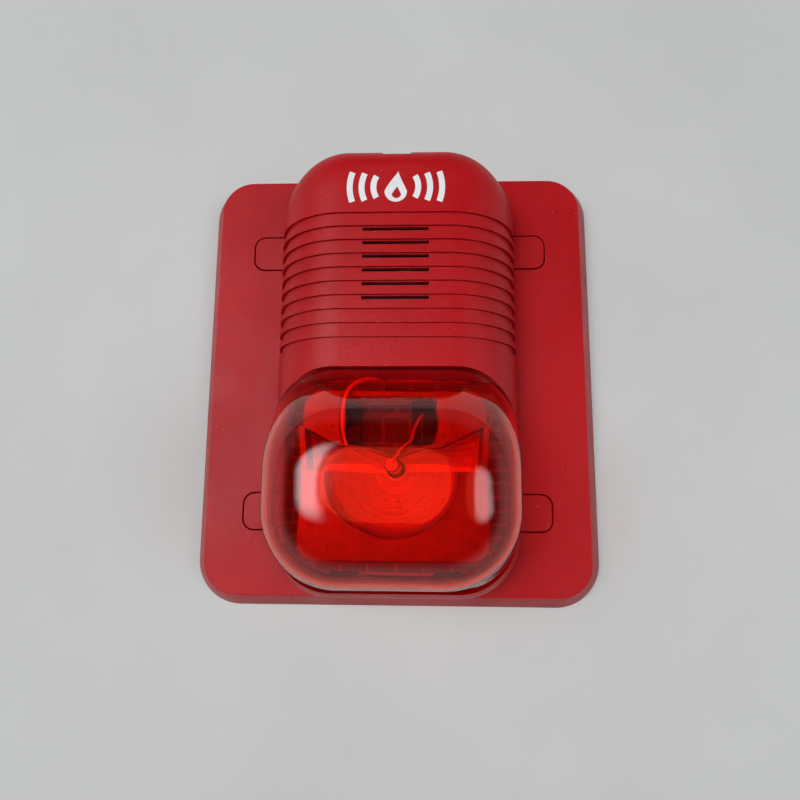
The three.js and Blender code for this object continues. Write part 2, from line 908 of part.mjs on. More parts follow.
function capacitorSolid() {
  const radius = 4.8;
  const length = 30;
  const profile = [
    [0, 0],
    [radius - 0.4, 0],
    [radius, 0.5],
    [radius, 2.2],
    [radius - 0.5, 2.9],
    [radius, 3.6],
    [radius, length - 0.5],
    [radius - 0.5, length],
    [0, length],
  ].map(([r, z]) => new THREE.Vector2(r, z));
  const geometry = new THREE.LatheGeometry(profile, 24);
  geometry.rotateZ(-Math.PI / 2);
  geometry.translate(-length / 2, lensTopSide + radius + 0.9, onBoard + radius);
  return solidOf(geometry);
}

const upperRow = (boardTopEdge + sounderY + sounder.radius) / 2;

const transformer = { x: -15.5, width: 10, depth: 8, height: 7, flange: 1 };
const transistor = { x: 14, width: 10, depth: 4.5, height: 9, tabThickness: 1.3, tabHeight: 14, hole: 2.4 };

function transformerSolid() {
  const y = upperRow;
  const { x, width, depth, height, flange } = transformer;
  const half = width / 2;
  const core = box(x - half, x + half, y - depth / 2, y + depth / 2, onBoard, onBoard + height);
  const cap = box(
    x - half - flange,
    x + half + flange,
    y - depth / 2 + flange,
    y + depth / 2 - flange,
    onBoard + 1.5 * flange,
    onBoard + height - 1.5 * flange,
  );
  return join(core, cap);
}

function inductorSolid() {
  return turned(
    [
      [0, onBoard],
      [4.2, onBoard],
      [4.2, onBoard + 1.2],
      [3.2, onBoard + 1.6],
      [3.2, onBoard + 6],
      [4.2, onBoard + 6.4],
      [4.2, onBoard + 7.6],
      [0, onBoard + 7.6],
    ],
    0,
    upperRow,
    20,
  );
}

function transistorSolid() {
  const { x, width, depth, height, tabThickness, tabHeight, hole } = transistor;
  const half = width / 2;
  const back = upperRow + depth - 3.5;
  const body = box(x - half, x + half, back - depth, back, onBoard, onBoard + height);
  const tabFront = back + tabThickness;
  const tabTop = onBoard + tabHeight;
  const metalTab = box(x - half, x + half, back - 0.1, tabFront, onBoard, tabTop);
  const holeTop = tabTop - 1.1;
  const screwHole = box(x - hole / 2, x + hole / 2, back - 1, tabFront + 1, holeTop - hole, holeTop);
  return cut(join(body, metalTab), screwHole);
}

const sideStrip = sounder.radius + 7.2;

function chipSolid() {
  const y = sounderY;
  let solid = box(sideStrip - 3, sideStrip + 3, y - 5, y + 5, onBoard + 0.3, onBoard + 2);
  for (const side of [-1, 1]) {
    for (let i = 0; i < 4; i++) {
      const legY = y - 3.8 + i * 2.54;
      const x = sideStrip + side * 3.6;
      solid = join(solid, box(x - 0.8, x + 0.8, legY - 0.25, legY + 0.25, onBoard, onBoard + 0.9));
    }
  }
  return solid;
}

function filterCapacitorSolid() {
  return turned(
    [
      [0, onBoard],
      [3, onBoard],
      [3, onBoard + 1.1],
      [2.7, onBoard + 1.5],
      [3, onBoard + 1.9],
      [3, onBoard + 8.6],
      [2.7, onBoard + 9],
      [0, onBoard + 9],
    ],
    -sideStrip,
    sounderY,
    16,
  );
}

// ---------------------------------------------------------------- rear cover, its screws and its label

const terminalY = (boardBottomEdge + lensTopSide) / 2 + 8;
const switchY = sounderY - 4;
const terminalHalf = (terminals.count * terminals.pitch + terminals.wall) / 2;
const switchHalf = (switches.count * switches.pitch + 1.5) / 2;

function coverSolid() {
  const half = halfWidth - housing.wall - cover.insetInHousing;
  const window = cover.windowGap;
  let solid = prism(
    roundedRectangle(
      -half,
      half,
      boardBottomEdge - cover.pastBoard,
      boardTopEdge + cover.pastBoard,
      board.cornerRadius + 1,
    ),
    coverBack,
    coverFront,
  );
  solid = cut(
    solid,
    box(
      -terminalHalf - window,
      terminalHalf + window,
      terminalY - terminals.width / 2 - window,
      terminalY + terminals.width / 2 + window,
      coverBack - 1,
      coverFront + 1,
    ),
    box(
      -switchHalf - window,
      switchHalf + window,
      switchY - switches.width / 2 - window,
      switchY + switches.width / 2 + window,
      coverBack - 1,
      coverFront + 1,
    ),
  );
  for (const [x, y] of screwPlaces) {
    solid = cut(solid, rod(x, y, coverBack - 1, coverFront + 1, rearScrew.shankRadius + 0.5, 12));
  }
  return solid;
}

// A cross-recessed screw driven from behind, with its head against the cover.
function rearScrewSolid([x, y]) {
  const under = coverBack - gap;
  const head = turned(
    [
      [0, under - rearScrew.headHeight],
      [rearScrew.headRadius - 0.8, under - rearScrew.headHeight],
      [rearScrew.headRadius, under - 0.5 * rearScrew.headHeight],
      [rearScrew.headRadius, under],
      [rearScrew.shankRadius, under],
      [rearScrew.shankRadius, onBoard + rearScrew.bite - 0.6],
      [0, onBoard + rearScrew.bite],
    ],
    x,
    y,
    16,
  );
  const z0 = under - rearScrew.headHeight - 1;
  const z1 = under - 0.45 * rearScrew.headHeight;
  return cut(
    head,
    box(x - 1.5, x + 1.5, y - 0.3, y + 0.3, z0, z1),
    box(x - 0.3, x + 0.3, y - 1.5, y + 1.5, z0, z1),
  );
}

const label = { width: 32, height: 12, thickness: 0.2, aboveTerminals: 9 };

function labelSolid() {
  const y = terminalY + terminals.width / 2 + label.aboveTerminals;
  const back = coverBack - gap - label.thickness;
  const halfX = label.width / 2;
  const halfY = label.height / 2;
  return prism(roundedRectangle(-halfX, halfX, y - halfY, y + halfY, 1), back, back + label.thickness, 1);
}

// ---------------------------------------------------------------- wiring terminals

const terminalBack = 1.6;
const terminalFloor = boardBack - gap - terminals.floor;
const contactThickness = 1;
const contactBack = terminalFloor - gap - contactThickness;
const clampThickness = 1;
const clampBack = contactBack - gap - terminals.travel - clampThickness;
const terminalScrew = { headRadius: 2.5, headHeight: 1.7, shankRadius: 1.25 };
const terminalX = (index) => (index - (terminals.count - 1) / 2) * terminals.pitch;

function terminalBlockSolid() {
  const y0 = terminalY - terminals.width / 2;
  const y1 = terminalY + terminals.width / 2;
  let solid = box(-terminalHalf, terminalHalf, y0, y1, terminalBack, boardBack - gap);
  const half = (terminals.pitch - terminals.wall) / 2;
  for (let i = 0; i < terminals.count; i++) {
    const x = terminalX(i);
    solid = cut(
      solid,
      box(x - half, x + half, y0 - 1, y1 - 1.6, 0, terminalFloor),
      rod(x, terminalY, terminalFloor - 1, terminalFloor + 1.6, terminalScrew.shankRadius + 0.4, 12),
    );
  }
  return solid;
}

function contactSolid(x) {
  const half = (terminals.pitch - terminals.wall) / 2 - gap;
  const bar = box(
    x - half,
    x + half,
    terminalY - terminals.width / 2 + 0.6,
    terminalY + terminals.width / 2 - 2.2,
    contactBack,
    contactBack + contactThickness,
  );
  const hole = rod(x, terminalY, contactBack - 1, terminalFloor, terminalScrew.shankRadius + 0.4, 12);
  return cut(bar, hole);
}

function clampSolid(x) {
  const half = (terminals.pitch - terminals.wall) / 2 - 0.4;
  const top = clampBack + clampThickness;
  const plain = box(x - half, x + half, terminalY - 3.6, terminalY + 3.6, clampBack, top);
  const hole = rod(x, terminalY, clampBack - 1, clampBack + 2, terminalScrew.shankRadius + gap, 12);
  return cut(plain, hole);
}

function terminalScrewSolid(x) {
  const under = clampBack - gap;
  const top = under - terminalScrew.headHeight;
  const screw = turned(
    [
      [0, top],
      [terminalScrew.headRadius - 0.4, top],
      [terminalScrew.headRadius, top + 0.4],
      [terminalScrew.headRadius, under],
      [terminalScrew.shankRadius, under],
      [terminalScrew.shankRadius, terminalFloor - gap],
      [0, terminalFloor - gap],
    ],
    x,
    terminalY,
    16,
  );
  return cut(screw, box(x - 2, x + 2, terminalY - 0.4, terminalY + 0.4, top - 1, top + 0.9));
}

// ---------------------------------------------------------------- field selector switches

const switchBack = skinUnder + 0.3;
const switchX = (index) => (index - (switches.count - 1) / 2) * switches.pitch;
const sliderHalf = 0.9;

function switchBaseSolid() {
  const y0 = switchY - switches.width / 2;
  let solid = box(-switchHalf, switchHalf, y0, y0 + switches.width, switchBack, boardBack - gap);
  const half = (switches.travel + switches.carriage) / 2 + gap;
  for (let i = 0; i < switches.count; i++) {
    const x = switchX(i);
    const y = sliderHalf + gap;
    solid = cut(solid, box(x - half, x + half, switchY - y, switchY + y, 0, boardBack - gap - 2.2));
  }
  return solid;
}

function switchSliderSolid(x) {
  const left = x - (switches.travel + switches.carriage) / 2;
  const centre = left + switches.carriage / 2;
  const front = boardBack - gap - 2.2 - gap;
  const y0 = switchY - sliderHalf;
  const y1 = switchY + sliderHalf;
  return join(
    box(left, left + switches.carriage, y0, y1, switchBack + 0.4, front),
    box(centre - switches.knob / 2, centre + switches.knob / 2, y0, y1, switchBack - 1.3, front),
  );
}

// ---------------------------------------------------------------- the assembly

const mountingPlate = new THREE.Group();
mountingPlate.add(piece("mounting_plate", plateSolid(), "red"));
mountingPlate.add(piece("latch_tongue", latchSolid(), "red"));

const frontHousing = new THREE.Group();
frontHousing.add(piece("housing_shell", housingSolid(), "red"));
frontHousing.add(piece("lens", lensSolid(), "clearRed"));

const strobe = new THREE.Group();
strobe.add(piece("reflector", reflectorSolid(), "mirror"));
strobe.add(piece("flash_tube", tubeSolid(), "glass"));
strobe.add(piece("tube_cap_front", ferruleSolid(tubeFront + gap), "steel"));
strobe.add(piece("tube_cap_rear", ferruleSolid(tubeBack - gap - tube.ferrule), "steel"));
strobe.add(piece("contact_clip_left", clipSolid(clips.left), "black"));
strobe.add(piece("contact_clip_right", clipSolid(clips.right), "black"));
strobe.add(piece("trigger_wire", triggerWireSolid(), "steel"));
strobe.add(piece("tube_lead", tubeLeadSolid(), "steel"));
frontHousing.add(strobe);

const horn = new THREE.Group();
horn.add(piece("sounder_cup", sounderCupSolid(), "greyPlastic"));
const discSolid = rod(0, sounderY, discBack, discSeat - gap, sounder.discRadius, 32);
const ceramicSolid = rod(0, sounderY, ceramicBack, discBack - gap, sounder.ceramicRadius, 28);
horn.add(piece("sounder_disc", discSolid, "brass"));
horn.add(piece("sounder_ceramic", ceramicSolid, "white"));
horn.add(piece("sounder_retaining_ring", retainingRingSolid(), "black"));
horn.add(piece("sounder_wire_red", sounderWireSolid(5, 3), "redLead"));
horn.add(piece("sounder_wire_black", sounderWireSolid(-5, -3), "black"));
frontHousing.add(horn);

const electronics = new THREE.Group();
electronics.add(piece("circuit_board", boardSolid(), "green"));
electronics.add(piece("flash_capacitor", capacitorSolid(), "black"));
electronics.add(piece("trigger_transformer", transformerSolid(), "greyPlastic"));
electronics.add(piece("power_inductor", inductorSolid(), "black"));
electronics.add(piece("switching_transistor", transistorSolid(), "black"));
electronics.add(piece("controller_chip", chipSolid(), "black"));
electronics.add(piece("filter_capacitor", filterCapacitorSolid(), "steel"));
frontHousing.add(electronics);

const back = new THREE.Group();
back.add(piece("rear_cover", coverSolid(), "black"));
screwPlaces.forEach((place, i) => back.add(piece("rear_screw_" + (i + 1), rearScrewSolid(place), "steel")));
back.add(piece("rear_label", labelSolid(), "white"));
back.add(piece("terminal_block", terminalBlockSolid(), "black"));
for (let i = 0; i < terminals.count; i++) {
  back.add(piece("terminal_contact_" + (i + 1), contactSolid(terminalX(i)), "brass"));
  back.add(piece("clamp_plate_" + (i + 1), clampSolid(terminalX(i)), "steel"));
  back.add(piece("terminal_screw_" + (i + 1), terminalScrewSolid(terminalX(i)), "steel"));
}
back.add(piece("switch_base", switchBaseSolid(), "black"));
for (let i = 0; i < switches.count; i++) {
  back.add(piece("switch_slider_" + (i + 1), switchSliderSolid(switchX(i)), "white"));
}
frontHousing.add(back);

const hornStrobe = new THREE.Group();
hornStrobe.add(mountingPlate, frontHousing);

export default hornStrobe;
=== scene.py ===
"""A wall-mounted horn and strobe: a ribbed red horn housing with a clear red dome over its flash tube,
clipped to a wide mounting plate. Sizes are in metres, on the frame of the mechanical model."""

import math

import bmesh
import bpy
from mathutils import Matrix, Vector


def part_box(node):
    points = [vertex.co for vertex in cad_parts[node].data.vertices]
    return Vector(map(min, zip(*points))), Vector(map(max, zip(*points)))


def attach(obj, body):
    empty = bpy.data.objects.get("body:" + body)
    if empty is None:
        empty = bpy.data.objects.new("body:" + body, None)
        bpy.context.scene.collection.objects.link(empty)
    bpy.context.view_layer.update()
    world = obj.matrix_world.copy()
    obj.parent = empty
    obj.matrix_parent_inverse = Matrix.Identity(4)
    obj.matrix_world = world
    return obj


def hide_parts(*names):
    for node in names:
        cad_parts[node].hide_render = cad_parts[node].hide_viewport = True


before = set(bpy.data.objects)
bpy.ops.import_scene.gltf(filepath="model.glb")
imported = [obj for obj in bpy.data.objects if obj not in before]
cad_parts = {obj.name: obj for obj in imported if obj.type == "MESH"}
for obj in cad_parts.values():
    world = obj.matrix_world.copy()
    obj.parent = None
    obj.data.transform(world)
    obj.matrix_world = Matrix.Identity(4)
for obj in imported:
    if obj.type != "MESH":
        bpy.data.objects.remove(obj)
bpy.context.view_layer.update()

MM = 0.001

# ------------------------------------------------------------------ sizes shared by the pieces

PLATE_LOW, PLATE_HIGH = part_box("mounting_plate")
SHELL_LOW, SHELL_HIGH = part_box("housing_shell")
LENS_LOW, LENS_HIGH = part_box("lens")
REFLECTOR_LOW, REFLECTOR_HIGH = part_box("reflector")
TUBE_LOW, TUBE_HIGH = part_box("flash_tube")
BOARD_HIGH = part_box("circuit_board")[1]

EAR_REACH = 10.7 * MM
EAR_HALF = 5.45 * MM
EAR_THICKNESS = 2.2 * MM
EAR_CLEARANCE = 0.45 * MM
EAR_ROUND = 3.2 * MM
HOUSING_HALF = SHELL_HIGH.x - EAR_REACH
HOUSING_FACE = SHELL_HIGH.z
HOUSING_SEAT = PLATE_HIGH.z + 0.3 * MM
HOUSING_WALL = 2.4 * MM
SIDE_ROUND = 22 * MM
TOP_ROUND = 8 * MM
LOW_ROUND = 18 * MM
CORNER_ROUND = 18 * MM
FACE_CORNER_ROUND = 7 * MM
PLATE_LIP = 1.2 * MM
PLATE_BEVEL = 3.8 * MM
PLATE_CORNER = 14 * MM
PLATE_SKIN = 2.5 * MM
SCREW_Y = 42.4 * MM
SCREW_X = 42.45 * MM
GROOVE_COUNT = 10
GROOVE_PITCH = 4.17 * MM
GROOVE_WIDTH = 2.4 * MM
GROOVE_DEPTH = 0.9 * MM
GROOVE_TOP = SHELL_HIGH.y - 22.1 * MM
SLOT_HALF = 9.7 * MM
HOOK_X = 16 * MM
HOOK_HALF = 4 * MM
HOOK_ROOT = 3.7 * MM
LUG_X = 12 * MM
LUG_HALF = 4 * MM
ON_BOARD = BOARD_HIGH.z + 0.3 * MM
TUBE_X = (TUBE_LOW.x + TUBE_HIGH.x) / 2
TUBE_Y = (TUBE_LOW.y + TUBE_HIGH.y) / 2
BOWL_RADIUS = (REFLECTOR_HIGH.y - REFLECTOR_LOW.y) / 2 - 3.5 * MM
BOWL_Y = TUBE_Y - MM
FLANGE = REFLECTOR_LOW.z + 14.8 * MM


# ------------------------------------------------------------------ shop tools

def part(name, bm, smooth=35):
    """A finished mesh object from a bmesh, shaded smooth up to an angle in degrees."""
    mesh = bpy.data.meshes.new(name)
    bm.to_mesh(mesh)
    bm.free()
    mesh.shade_smooth()
    mesh.set_sharp_from_angle(angle=math.radians(smooth))
    obj = bpy.data.objects.new(name, mesh)
    bpy.context.scene.collection.objects.link(obj)
    return obj


def baked(obj, smooth=35):
    """Applies an object's modifiers to its mesh."""
    depsgraph = bpy.context.evaluated_depsgraph_get()
    mesh = bpy.data.meshes.new_from_object(obj.evaluated_get(depsgraph))
    obj.modifiers.clear()
    obj.data = mesh
    mesh.shade_smooth()
    mesh.set_sharp_from_angle(angle=math.radians(smooth))
    return obj


def combine(body, tool, operation):
    """Cuts a tool from a body, joins it on, or keeps what they share; the tool is used up."""
    step = body.modifiers.new(operation.lower(), "BOOLEAN")
    step.operation = operation
    step.solver = "EXACT"
    step.object = tool
    baked(body)
    bpy.data.objects.remove(tool)
    return body


def carve(body, *tools):
    for tool in tools:
        combine(body, tool, "DIFFERENCE")
    return body


def ease(obj, width, segments=2, angle=32):
    """Breaks the sharp edges as a mould does."""
    step = obj.modifiers.new("broken edges", "BEVEL")
    step.width = width
    step.segments = segments
    step.limit_method = "ANGLE"
    step.angle_limit = math.radians(angle)
    step.use_clamp_overlap = True
    step.harden_normals = True
    return obj


def finish_piece(obj, body, material, slot, *nodes):
    """Gives a piece its finish and fixes it to the body that carries it."""
    obj.data.materials.clear()
    obj.data.materials.append(material)
    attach(obj, body)
    if nodes:
        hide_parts(*nodes)
    return obj


def section(x0, x1, y0, y1, radius, z):
    return {"x": (x0, x1), "y": (y0, y1), "r": radius, "z": z}


def reshaped(point, old, new):
    """Moves a point of one rounded rectangle to the same place on another."""
    moved = []
    for value, axis in ((point.x, "x"), (point.y, "y")):
        middle_old = sum(old[axis]) / 2
        middle_new = sum(new[axis]) / 2
        flat_old = (old[axis][1] - old[axis][0]) / 2 - old["r"]
        flat_new = (new[axis][1] - new[axis][0]) / 2 - new["r"]
        away = value - middle_old
        if abs(away) > flat_old:
            distance = flat_new + new["r"] * (abs(away) - flat_old) / old["r"]
        else:
            distance = flat_new * abs(away) / flat_old
        moved.append(middle_new + math.copysign(distance, away))
    return Vector((*moved, new["z"]))


def rounded_face(bm, level, segments):
    """One flat rounded rectangle."""
    earlier = set(bm.faces)
    corners = bmesh.ops.create_grid(bm, x_segments=1, y_segments=1, size=1)["verts"]
    for corner in corners:
        corner.co = Vector((level["x"][corner.co.x > 0], level["y"][corner.co.y > 0], level["z"]))
    bmesh.ops.bevel(
        bm,
        geom=corners,
        offset=level["r"],
        offset_type="OFFSET",
        segments=segments,
        profile=0.5,
        affect="VERTICES",
        material=-1,
    )
    return next(face for face in bm.faces if face not in earlier)


def stacked(levels, segments=12, bm=None):
    """A closed body drawn up through a stack of rounded rectangles."""
    bm = bm or bmesh.new()
    foot = face = rounded_face(bm, levels[0], segments)
    for below, above in zip(levels, levels[1:]):
        made = bmesh.ops.extrude_face_region(bm, geom=[face])
        if face is not foot:
            bm.faces.remove(face)
        face = next(item for item in made["geom"] if isinstance(item, bmesh.types.BMFace))
        for vert in face.verts:
            vert.co = reshaped(vert.co, below, above)
    bmesh.ops.recalc_face_normals(bm, faces=bm.faces[:])
    return bm


def block(x0, x1, y0, y1, z0, z1, bm=None):
    """A square-cornered block, for cuts and small details."""
    bm = bm or bmesh.new()
    made = bmesh.ops.create_cube(bm, size=1)
    for vert in made["verts"]:
        vert.co = Vector(
            (x1 if vert.co.x > 0 else x0, y1 if vert.co.y > 0 else y0, z1 if vert.co.z > 0 else z0)
        )
    return bm


def prism(bm, points, z0, z1):
    """A straight-sided body over an outline of (x, y) points."""
    ring = [bm.verts.new((x, y, z0)) for x, y in points]
    face = bm.faces.new(ring)
    made = bmesh.ops.extrude_face_region(bm, geom=[face])
    raised = [item for item in made["geom"] if isinstance(item, bmesh.types.BMVert)]
    bmesh.ops.translate(bm, verts=raised, vec=(0, 0, z1 - z0))
    bmesh.ops.recalc_face_normals(bm, faces=bm.faces[:])
    return bm


def arc(cx, cy, radius, start, end, steps):
    """Points along an arc, with its angles in degrees."""
    angles = [math.radians(start + (end - start) * i / steps) for i in range(steps + 1)]
    return [(cx + radius * math.cos(a), cy + radius * math.sin(a)) for a in angles]


def tongue_outline(x_in, x_out, y0, y1, radius):
    """A tab with a square root at x_in and two round corners at x_out."""
    side = math.copysign(1, x_out - x_in)
    corner = x_out - side * radius
    outward = 0 if side > 0 else -180
    low = arc(corner, y0 + radius, radius, -90, outward, 8)
    high = arc(corner, y1 - radius, radius, abs(outward), 90, 8)
    return [(x_in, y0), *low, *high, (x_in, y1)]


def turned(profile, x, y, steps=64, bm=None):
    """A lathe-turned body about an upright axis, from a profile of (radius, height) points."""
    bm = bm or bmesh.new()
    ring = [bm.verts.new((x + radius, y, z)) for radius, z in profile]
    edges = [bm.edges.new(pair) for pair in zip(ring, ring[1:])]
    bmesh.ops.spin(
        bm,
        geom=ring + edges,
        cent=(x, y, 0),
        axis=(0, 0, 1),
        angle=2 * math.pi,
        steps=steps,
        use_merge=True,
    )
    bmesh.ops.remove_doubles(bm, verts=bm.verts[:], dist=1e-7)
    bmesh.ops.recalc_face_normals(bm, faces=bm.faces[:])
    return bm


# ------------------------------------------------------------------ finishes

class Finish:
    """A surface finish built from shader nodes, in the piece's own coordinates."""

    def __init__(self, name):
        self.material = bpy.data.materials.new(name)
        self.material.use_nodes = True
        self.tree = self.material.node_tree
        self.tree.nodes.clear()
        self.output = self.tree.nodes.new("ShaderNodeOutputMaterial")
        self.shader = self.tree.nodes.new("ShaderNodeBsdfPrincipled")
        self.link(self.shader.outputs["BSDF"], self.output.inputs["Surface"])
        self.place = self.tree.nodes.new("ShaderNodeTexCoord").outputs["Object"]

    def link(self, source, target):
        self.tree.links.new(source, target)

    def noise(self, size, detail=4.0, roughness=0.55, stretch=None):
        """Cloudy variation with features of about this size."""
        node = self.tree.nodes.new("ShaderNodeTexNoise")
        node.inputs["Scale"].default_value = 1 / size
        node.inputs["Detail"].default_value = detail
        node.inputs["Roughness"].default_value = roughness
        self.link(self.stretched(stretch), node.inputs["Vector"])
        return node.outputs["Fac"]

    def stretched(self, stretch):
        if stretch is None:
            return self.place
        mapping = self.tree.nodes.new("ShaderNodeMapping")
        mapping.inputs["Scale"].default_value = stretch
        self.link(self.place, mapping.inputs["Vector"])
        return mapping.outputs["Vector"]

    def spots(self, size, random=1.0):
        node = self.tree.nodes.new("ShaderNodeTexVoronoi")
        node.inputs["Scale"].default_value = 1 / size
        node.inputs["Randomness"].default_value = random
        self.link(self.place, node.inputs["Vector"])
        return node.outputs["Distance"]

    def ranged(self, value, low, high, to_low=0.0, to_high=1.0):
        node = self.tree.nodes.new("ShaderNodeMapRange")
        node.inputs["From Min"].default_value = low
        node.inputs["From Max"].default_value = high
        node.inputs["To Min"].default_value = to_low
        node.inputs["To Max"].default_value = to_high
        self.link(value, node.inputs["Value"])
        return node.outputs["Result"]

    def times(self, first, second):
        node = self.tree.nodes.new("ShaderNodeMath")
        node.operation = "MULTIPLY"
        for value, target in ((first, node.inputs[0]), (second, node.inputs[1])):
            if isinstance(value, (int, float)):
                target.default_value = value
            else:
                self.link(value, target)
        return node.outputs["Value"]

    def blended(self, amount, first, second):
        """One colour or colour output over another, by an amount."""
        node = self.tree.nodes.new("ShaderNodeMix")
        node.data_type = "RGBA"
        self.link(amount, node.inputs["Factor"])
        sockets = [s for s in node.inputs if s.type == "RGBA"]
        for value, target in zip((first, second), sockets):
            if isinstance(value, tuple):
                target.default_value = (*value, 1)
            else:
                self.link(value, target)
        return next(s for s in node.outputs if s.type == "RGBA")

    def edges(self, reach, samples=4):
        """Grows from 0 on the flats to 1 on worn corners."""
        rounded = self.tree.nodes.new("ShaderNodeBevel")
        rounded.samples = samples
        rounded.inputs["Radius"].default_value = reach
        plain = self.tree.nodes.new("ShaderNodeNewGeometry")
        facing = self.tree.nodes.new("ShaderNodeVectorMath")
        facing.operation = "DOT_PRODUCT"
        self.link(rounded.outputs["Normal"], facing.inputs[0])
        self.link(plain.outputs["Normal"], facing.inputs[1])
        return self.ranged(facing.outputs["Value"], 0.995, 0.9)

    def bump(self, *layers):
        """Raises the surface; each layer is a height output and its depth."""
        previous = None
        for height, depth in layers:
            node = self.tree.nodes.new("ShaderNodeBump")
            node.inputs["Distance"].default_value = depth
            self.link(height, node.inputs["Height"])
            if previous is not None:
                self.link(previous, node.inputs["Normal"])
            previous = node.outputs["Normal"]
        self.link(previous, self.shader.inputs["Normal"])

    def base(self, colour):
        if isinstance(colour, tuple):
            self.shader.inputs["Base Color"].default_value = (*colour, 1)
        else:
            self.link(colour, self.shader.inputs["Base Color"])

    def rough(self, value):
        self.link(value, self.shader.inputs["Roughness"])

    def set(self, **values):
        for name, value in values.items():
            self.shader.inputs[name.replace("_", " ").title().replace("Ior", "IOR")].default_value = value


def moulded_plastic(
    name, colour, deep, light, rough=(0.3, 0.42), grain=0.35 * MM, depth=0.02 * MM, dust=0.0, gloss=0.5
):
    """Injection-moulded plastic: fine spark grain, slow shade drift, paler worn edges and a little dust."""
    finish = Finish(name)
    drift = finish.ranged(finish.noise(38 * MM), 0.35, 0.65)
    flow = finish.ranged(finish.noise(6 * MM, stretch=(1, 0.35, 1)), 0.3, 0.7)
    shade = finish.blended(finish.times(drift, 0.75), deep, colour)
    shade = finish.blended(finish.times(flow, 0.16), shade, light)
    worn = finish.times(finish.edges(0.5 * MM), finish.ranged(finish.noise(3 * MM), 0.42, 0.62))
    shade = finish.blended(finish.times(worn, 0.55), shade, light)
    if dust:
        speck = finish.ranged(finish.spots(2.3 * MM), 0.075, 0.045)
        patch = finish.ranged(finish.noise(9 * MM, detail=1), 0.5, 0.62)
        shade = finish.blended(finish.times(finish.times(speck, patch), dust), shade, (0.55, 0.5, 0.47))
    finish.base(shade)
    smudge = finish.noise(13 * MM, detail=6)
    finish.rough(finish.ranged(smudge, 0.3, 0.7, *rough))
    finish.bump((finish.noise(grain, detail=2), depth), (finish.noise(4 * MM, detail=2), 0.03 * MM))
    finish.shader.inputs["Specular IOR Level"].default_value = gloss
    return finish.material


def metal(
    name, colour, dull, rough=(0.18, 0.4), brushed=(1, 1, 1), grain=0.3 * MM, depth=0.01 * MM, metallic=1.0
):
    """Plated or rolled metal: tool lines and dull patches. tool lines, dull patches and small scratches."""
    finish = Finish(name)
    cloud = finish.ranged(finish.noise(5 * MM, detail=6), 0.35, 0.7)
    lines = finish.noise(grain, detail=3, stretch=brushed)
    finish.base(finish.blended(cloud, colour, dull))
    finish.rough(finish.ranged(finish.noise(2.5 * MM, detail=6), 0.3, 0.7, *rough))
    finish.bump((lines, depth))
    finish.set(metallic=metallic)
    return finish.material


def red_housing_plastic():
    return moulded_plastic(
        "red moulded plastic",
        (0.44, 0.002, 0.005),
        (0.36, 0.0015, 0.0035),
        (0.5, 0.014, 0.022),
        rough=(0.36, 0.5),
        grain=0.42 * MM,
        depth=0.1 * MM,
        dust=0.5,
        gloss=0.3,
    )


def white_print():
    """Pad-printed ink: off-white, thin in places."""
    finish = Finish("white printed ink")
    thin = finish.ranged(finish.noise(0.9 * MM, detail=5), 0.66, 0.8)
    cloud = finish.ranged(finish.noise(7 * MM), 0.35, 0.65)
    shade = finish.blended(cloud, (0.80, 0.80, 0.79), (0.72, 0.73, 0.74))
    finish.base(finish.blended(finish.times(thin, 0.5), shade, (0.5, 0.12, 0.12)))
    finish.rough(finish.ranged(finish.noise(3 * MM), 0.3, 0.7, 0.35, 0.5))
    finish.bump((finish.noise(0.4 * MM), 0.012 * MM))
    return finish.material


def clear_red_lens():
    """Tinted polycarbonate: clear red, glossy, hazy and paler where it is seen edge-on."""
    finish = Finish("clear red plastic")
    shader = finish.shader
    shader.inputs["Transmission Weight"].default_value = 1.0
    shader.inputs["IOR"].default_value = 1.5
    drift = finish.ranged(finish.noise(20 * MM), 0.3, 0.7)
    finish.base(finish.blended(drift, (0.97, 0.085, 0.03), (0.95, 0.06, 0.02)))
    finish.rough(finish.ranged(finish.noise(9 * MM, detail=5), 0.35, 0.75, 0.0, 0.035))
    finish.bump((finish.noise(14 * MM, detail=1), 0.12 * MM))
    tree = finish.tree
    through = tree.nodes.new("ShaderNodeBsdfTransparent")
    through.inputs["Color"].default_value = (0.97, 0.14, 0.06, 1)
    path = tree.nodes.new("ShaderNodeLightPath")
    lamp = tree.nodes.new("ShaderNodeMixShader")
    finish.link(path.outputs["Is Shadow Ray"], lamp.inputs["Fac"])
    finish.link(shader.outputs["BSDF"], lamp.inputs[1])
    finish.link(through.outputs["BSDF"], lamp.inputs[2])
    finish.link(lamp.outputs["Shader"], finish.output.inputs["Surface"])
    return finish.material


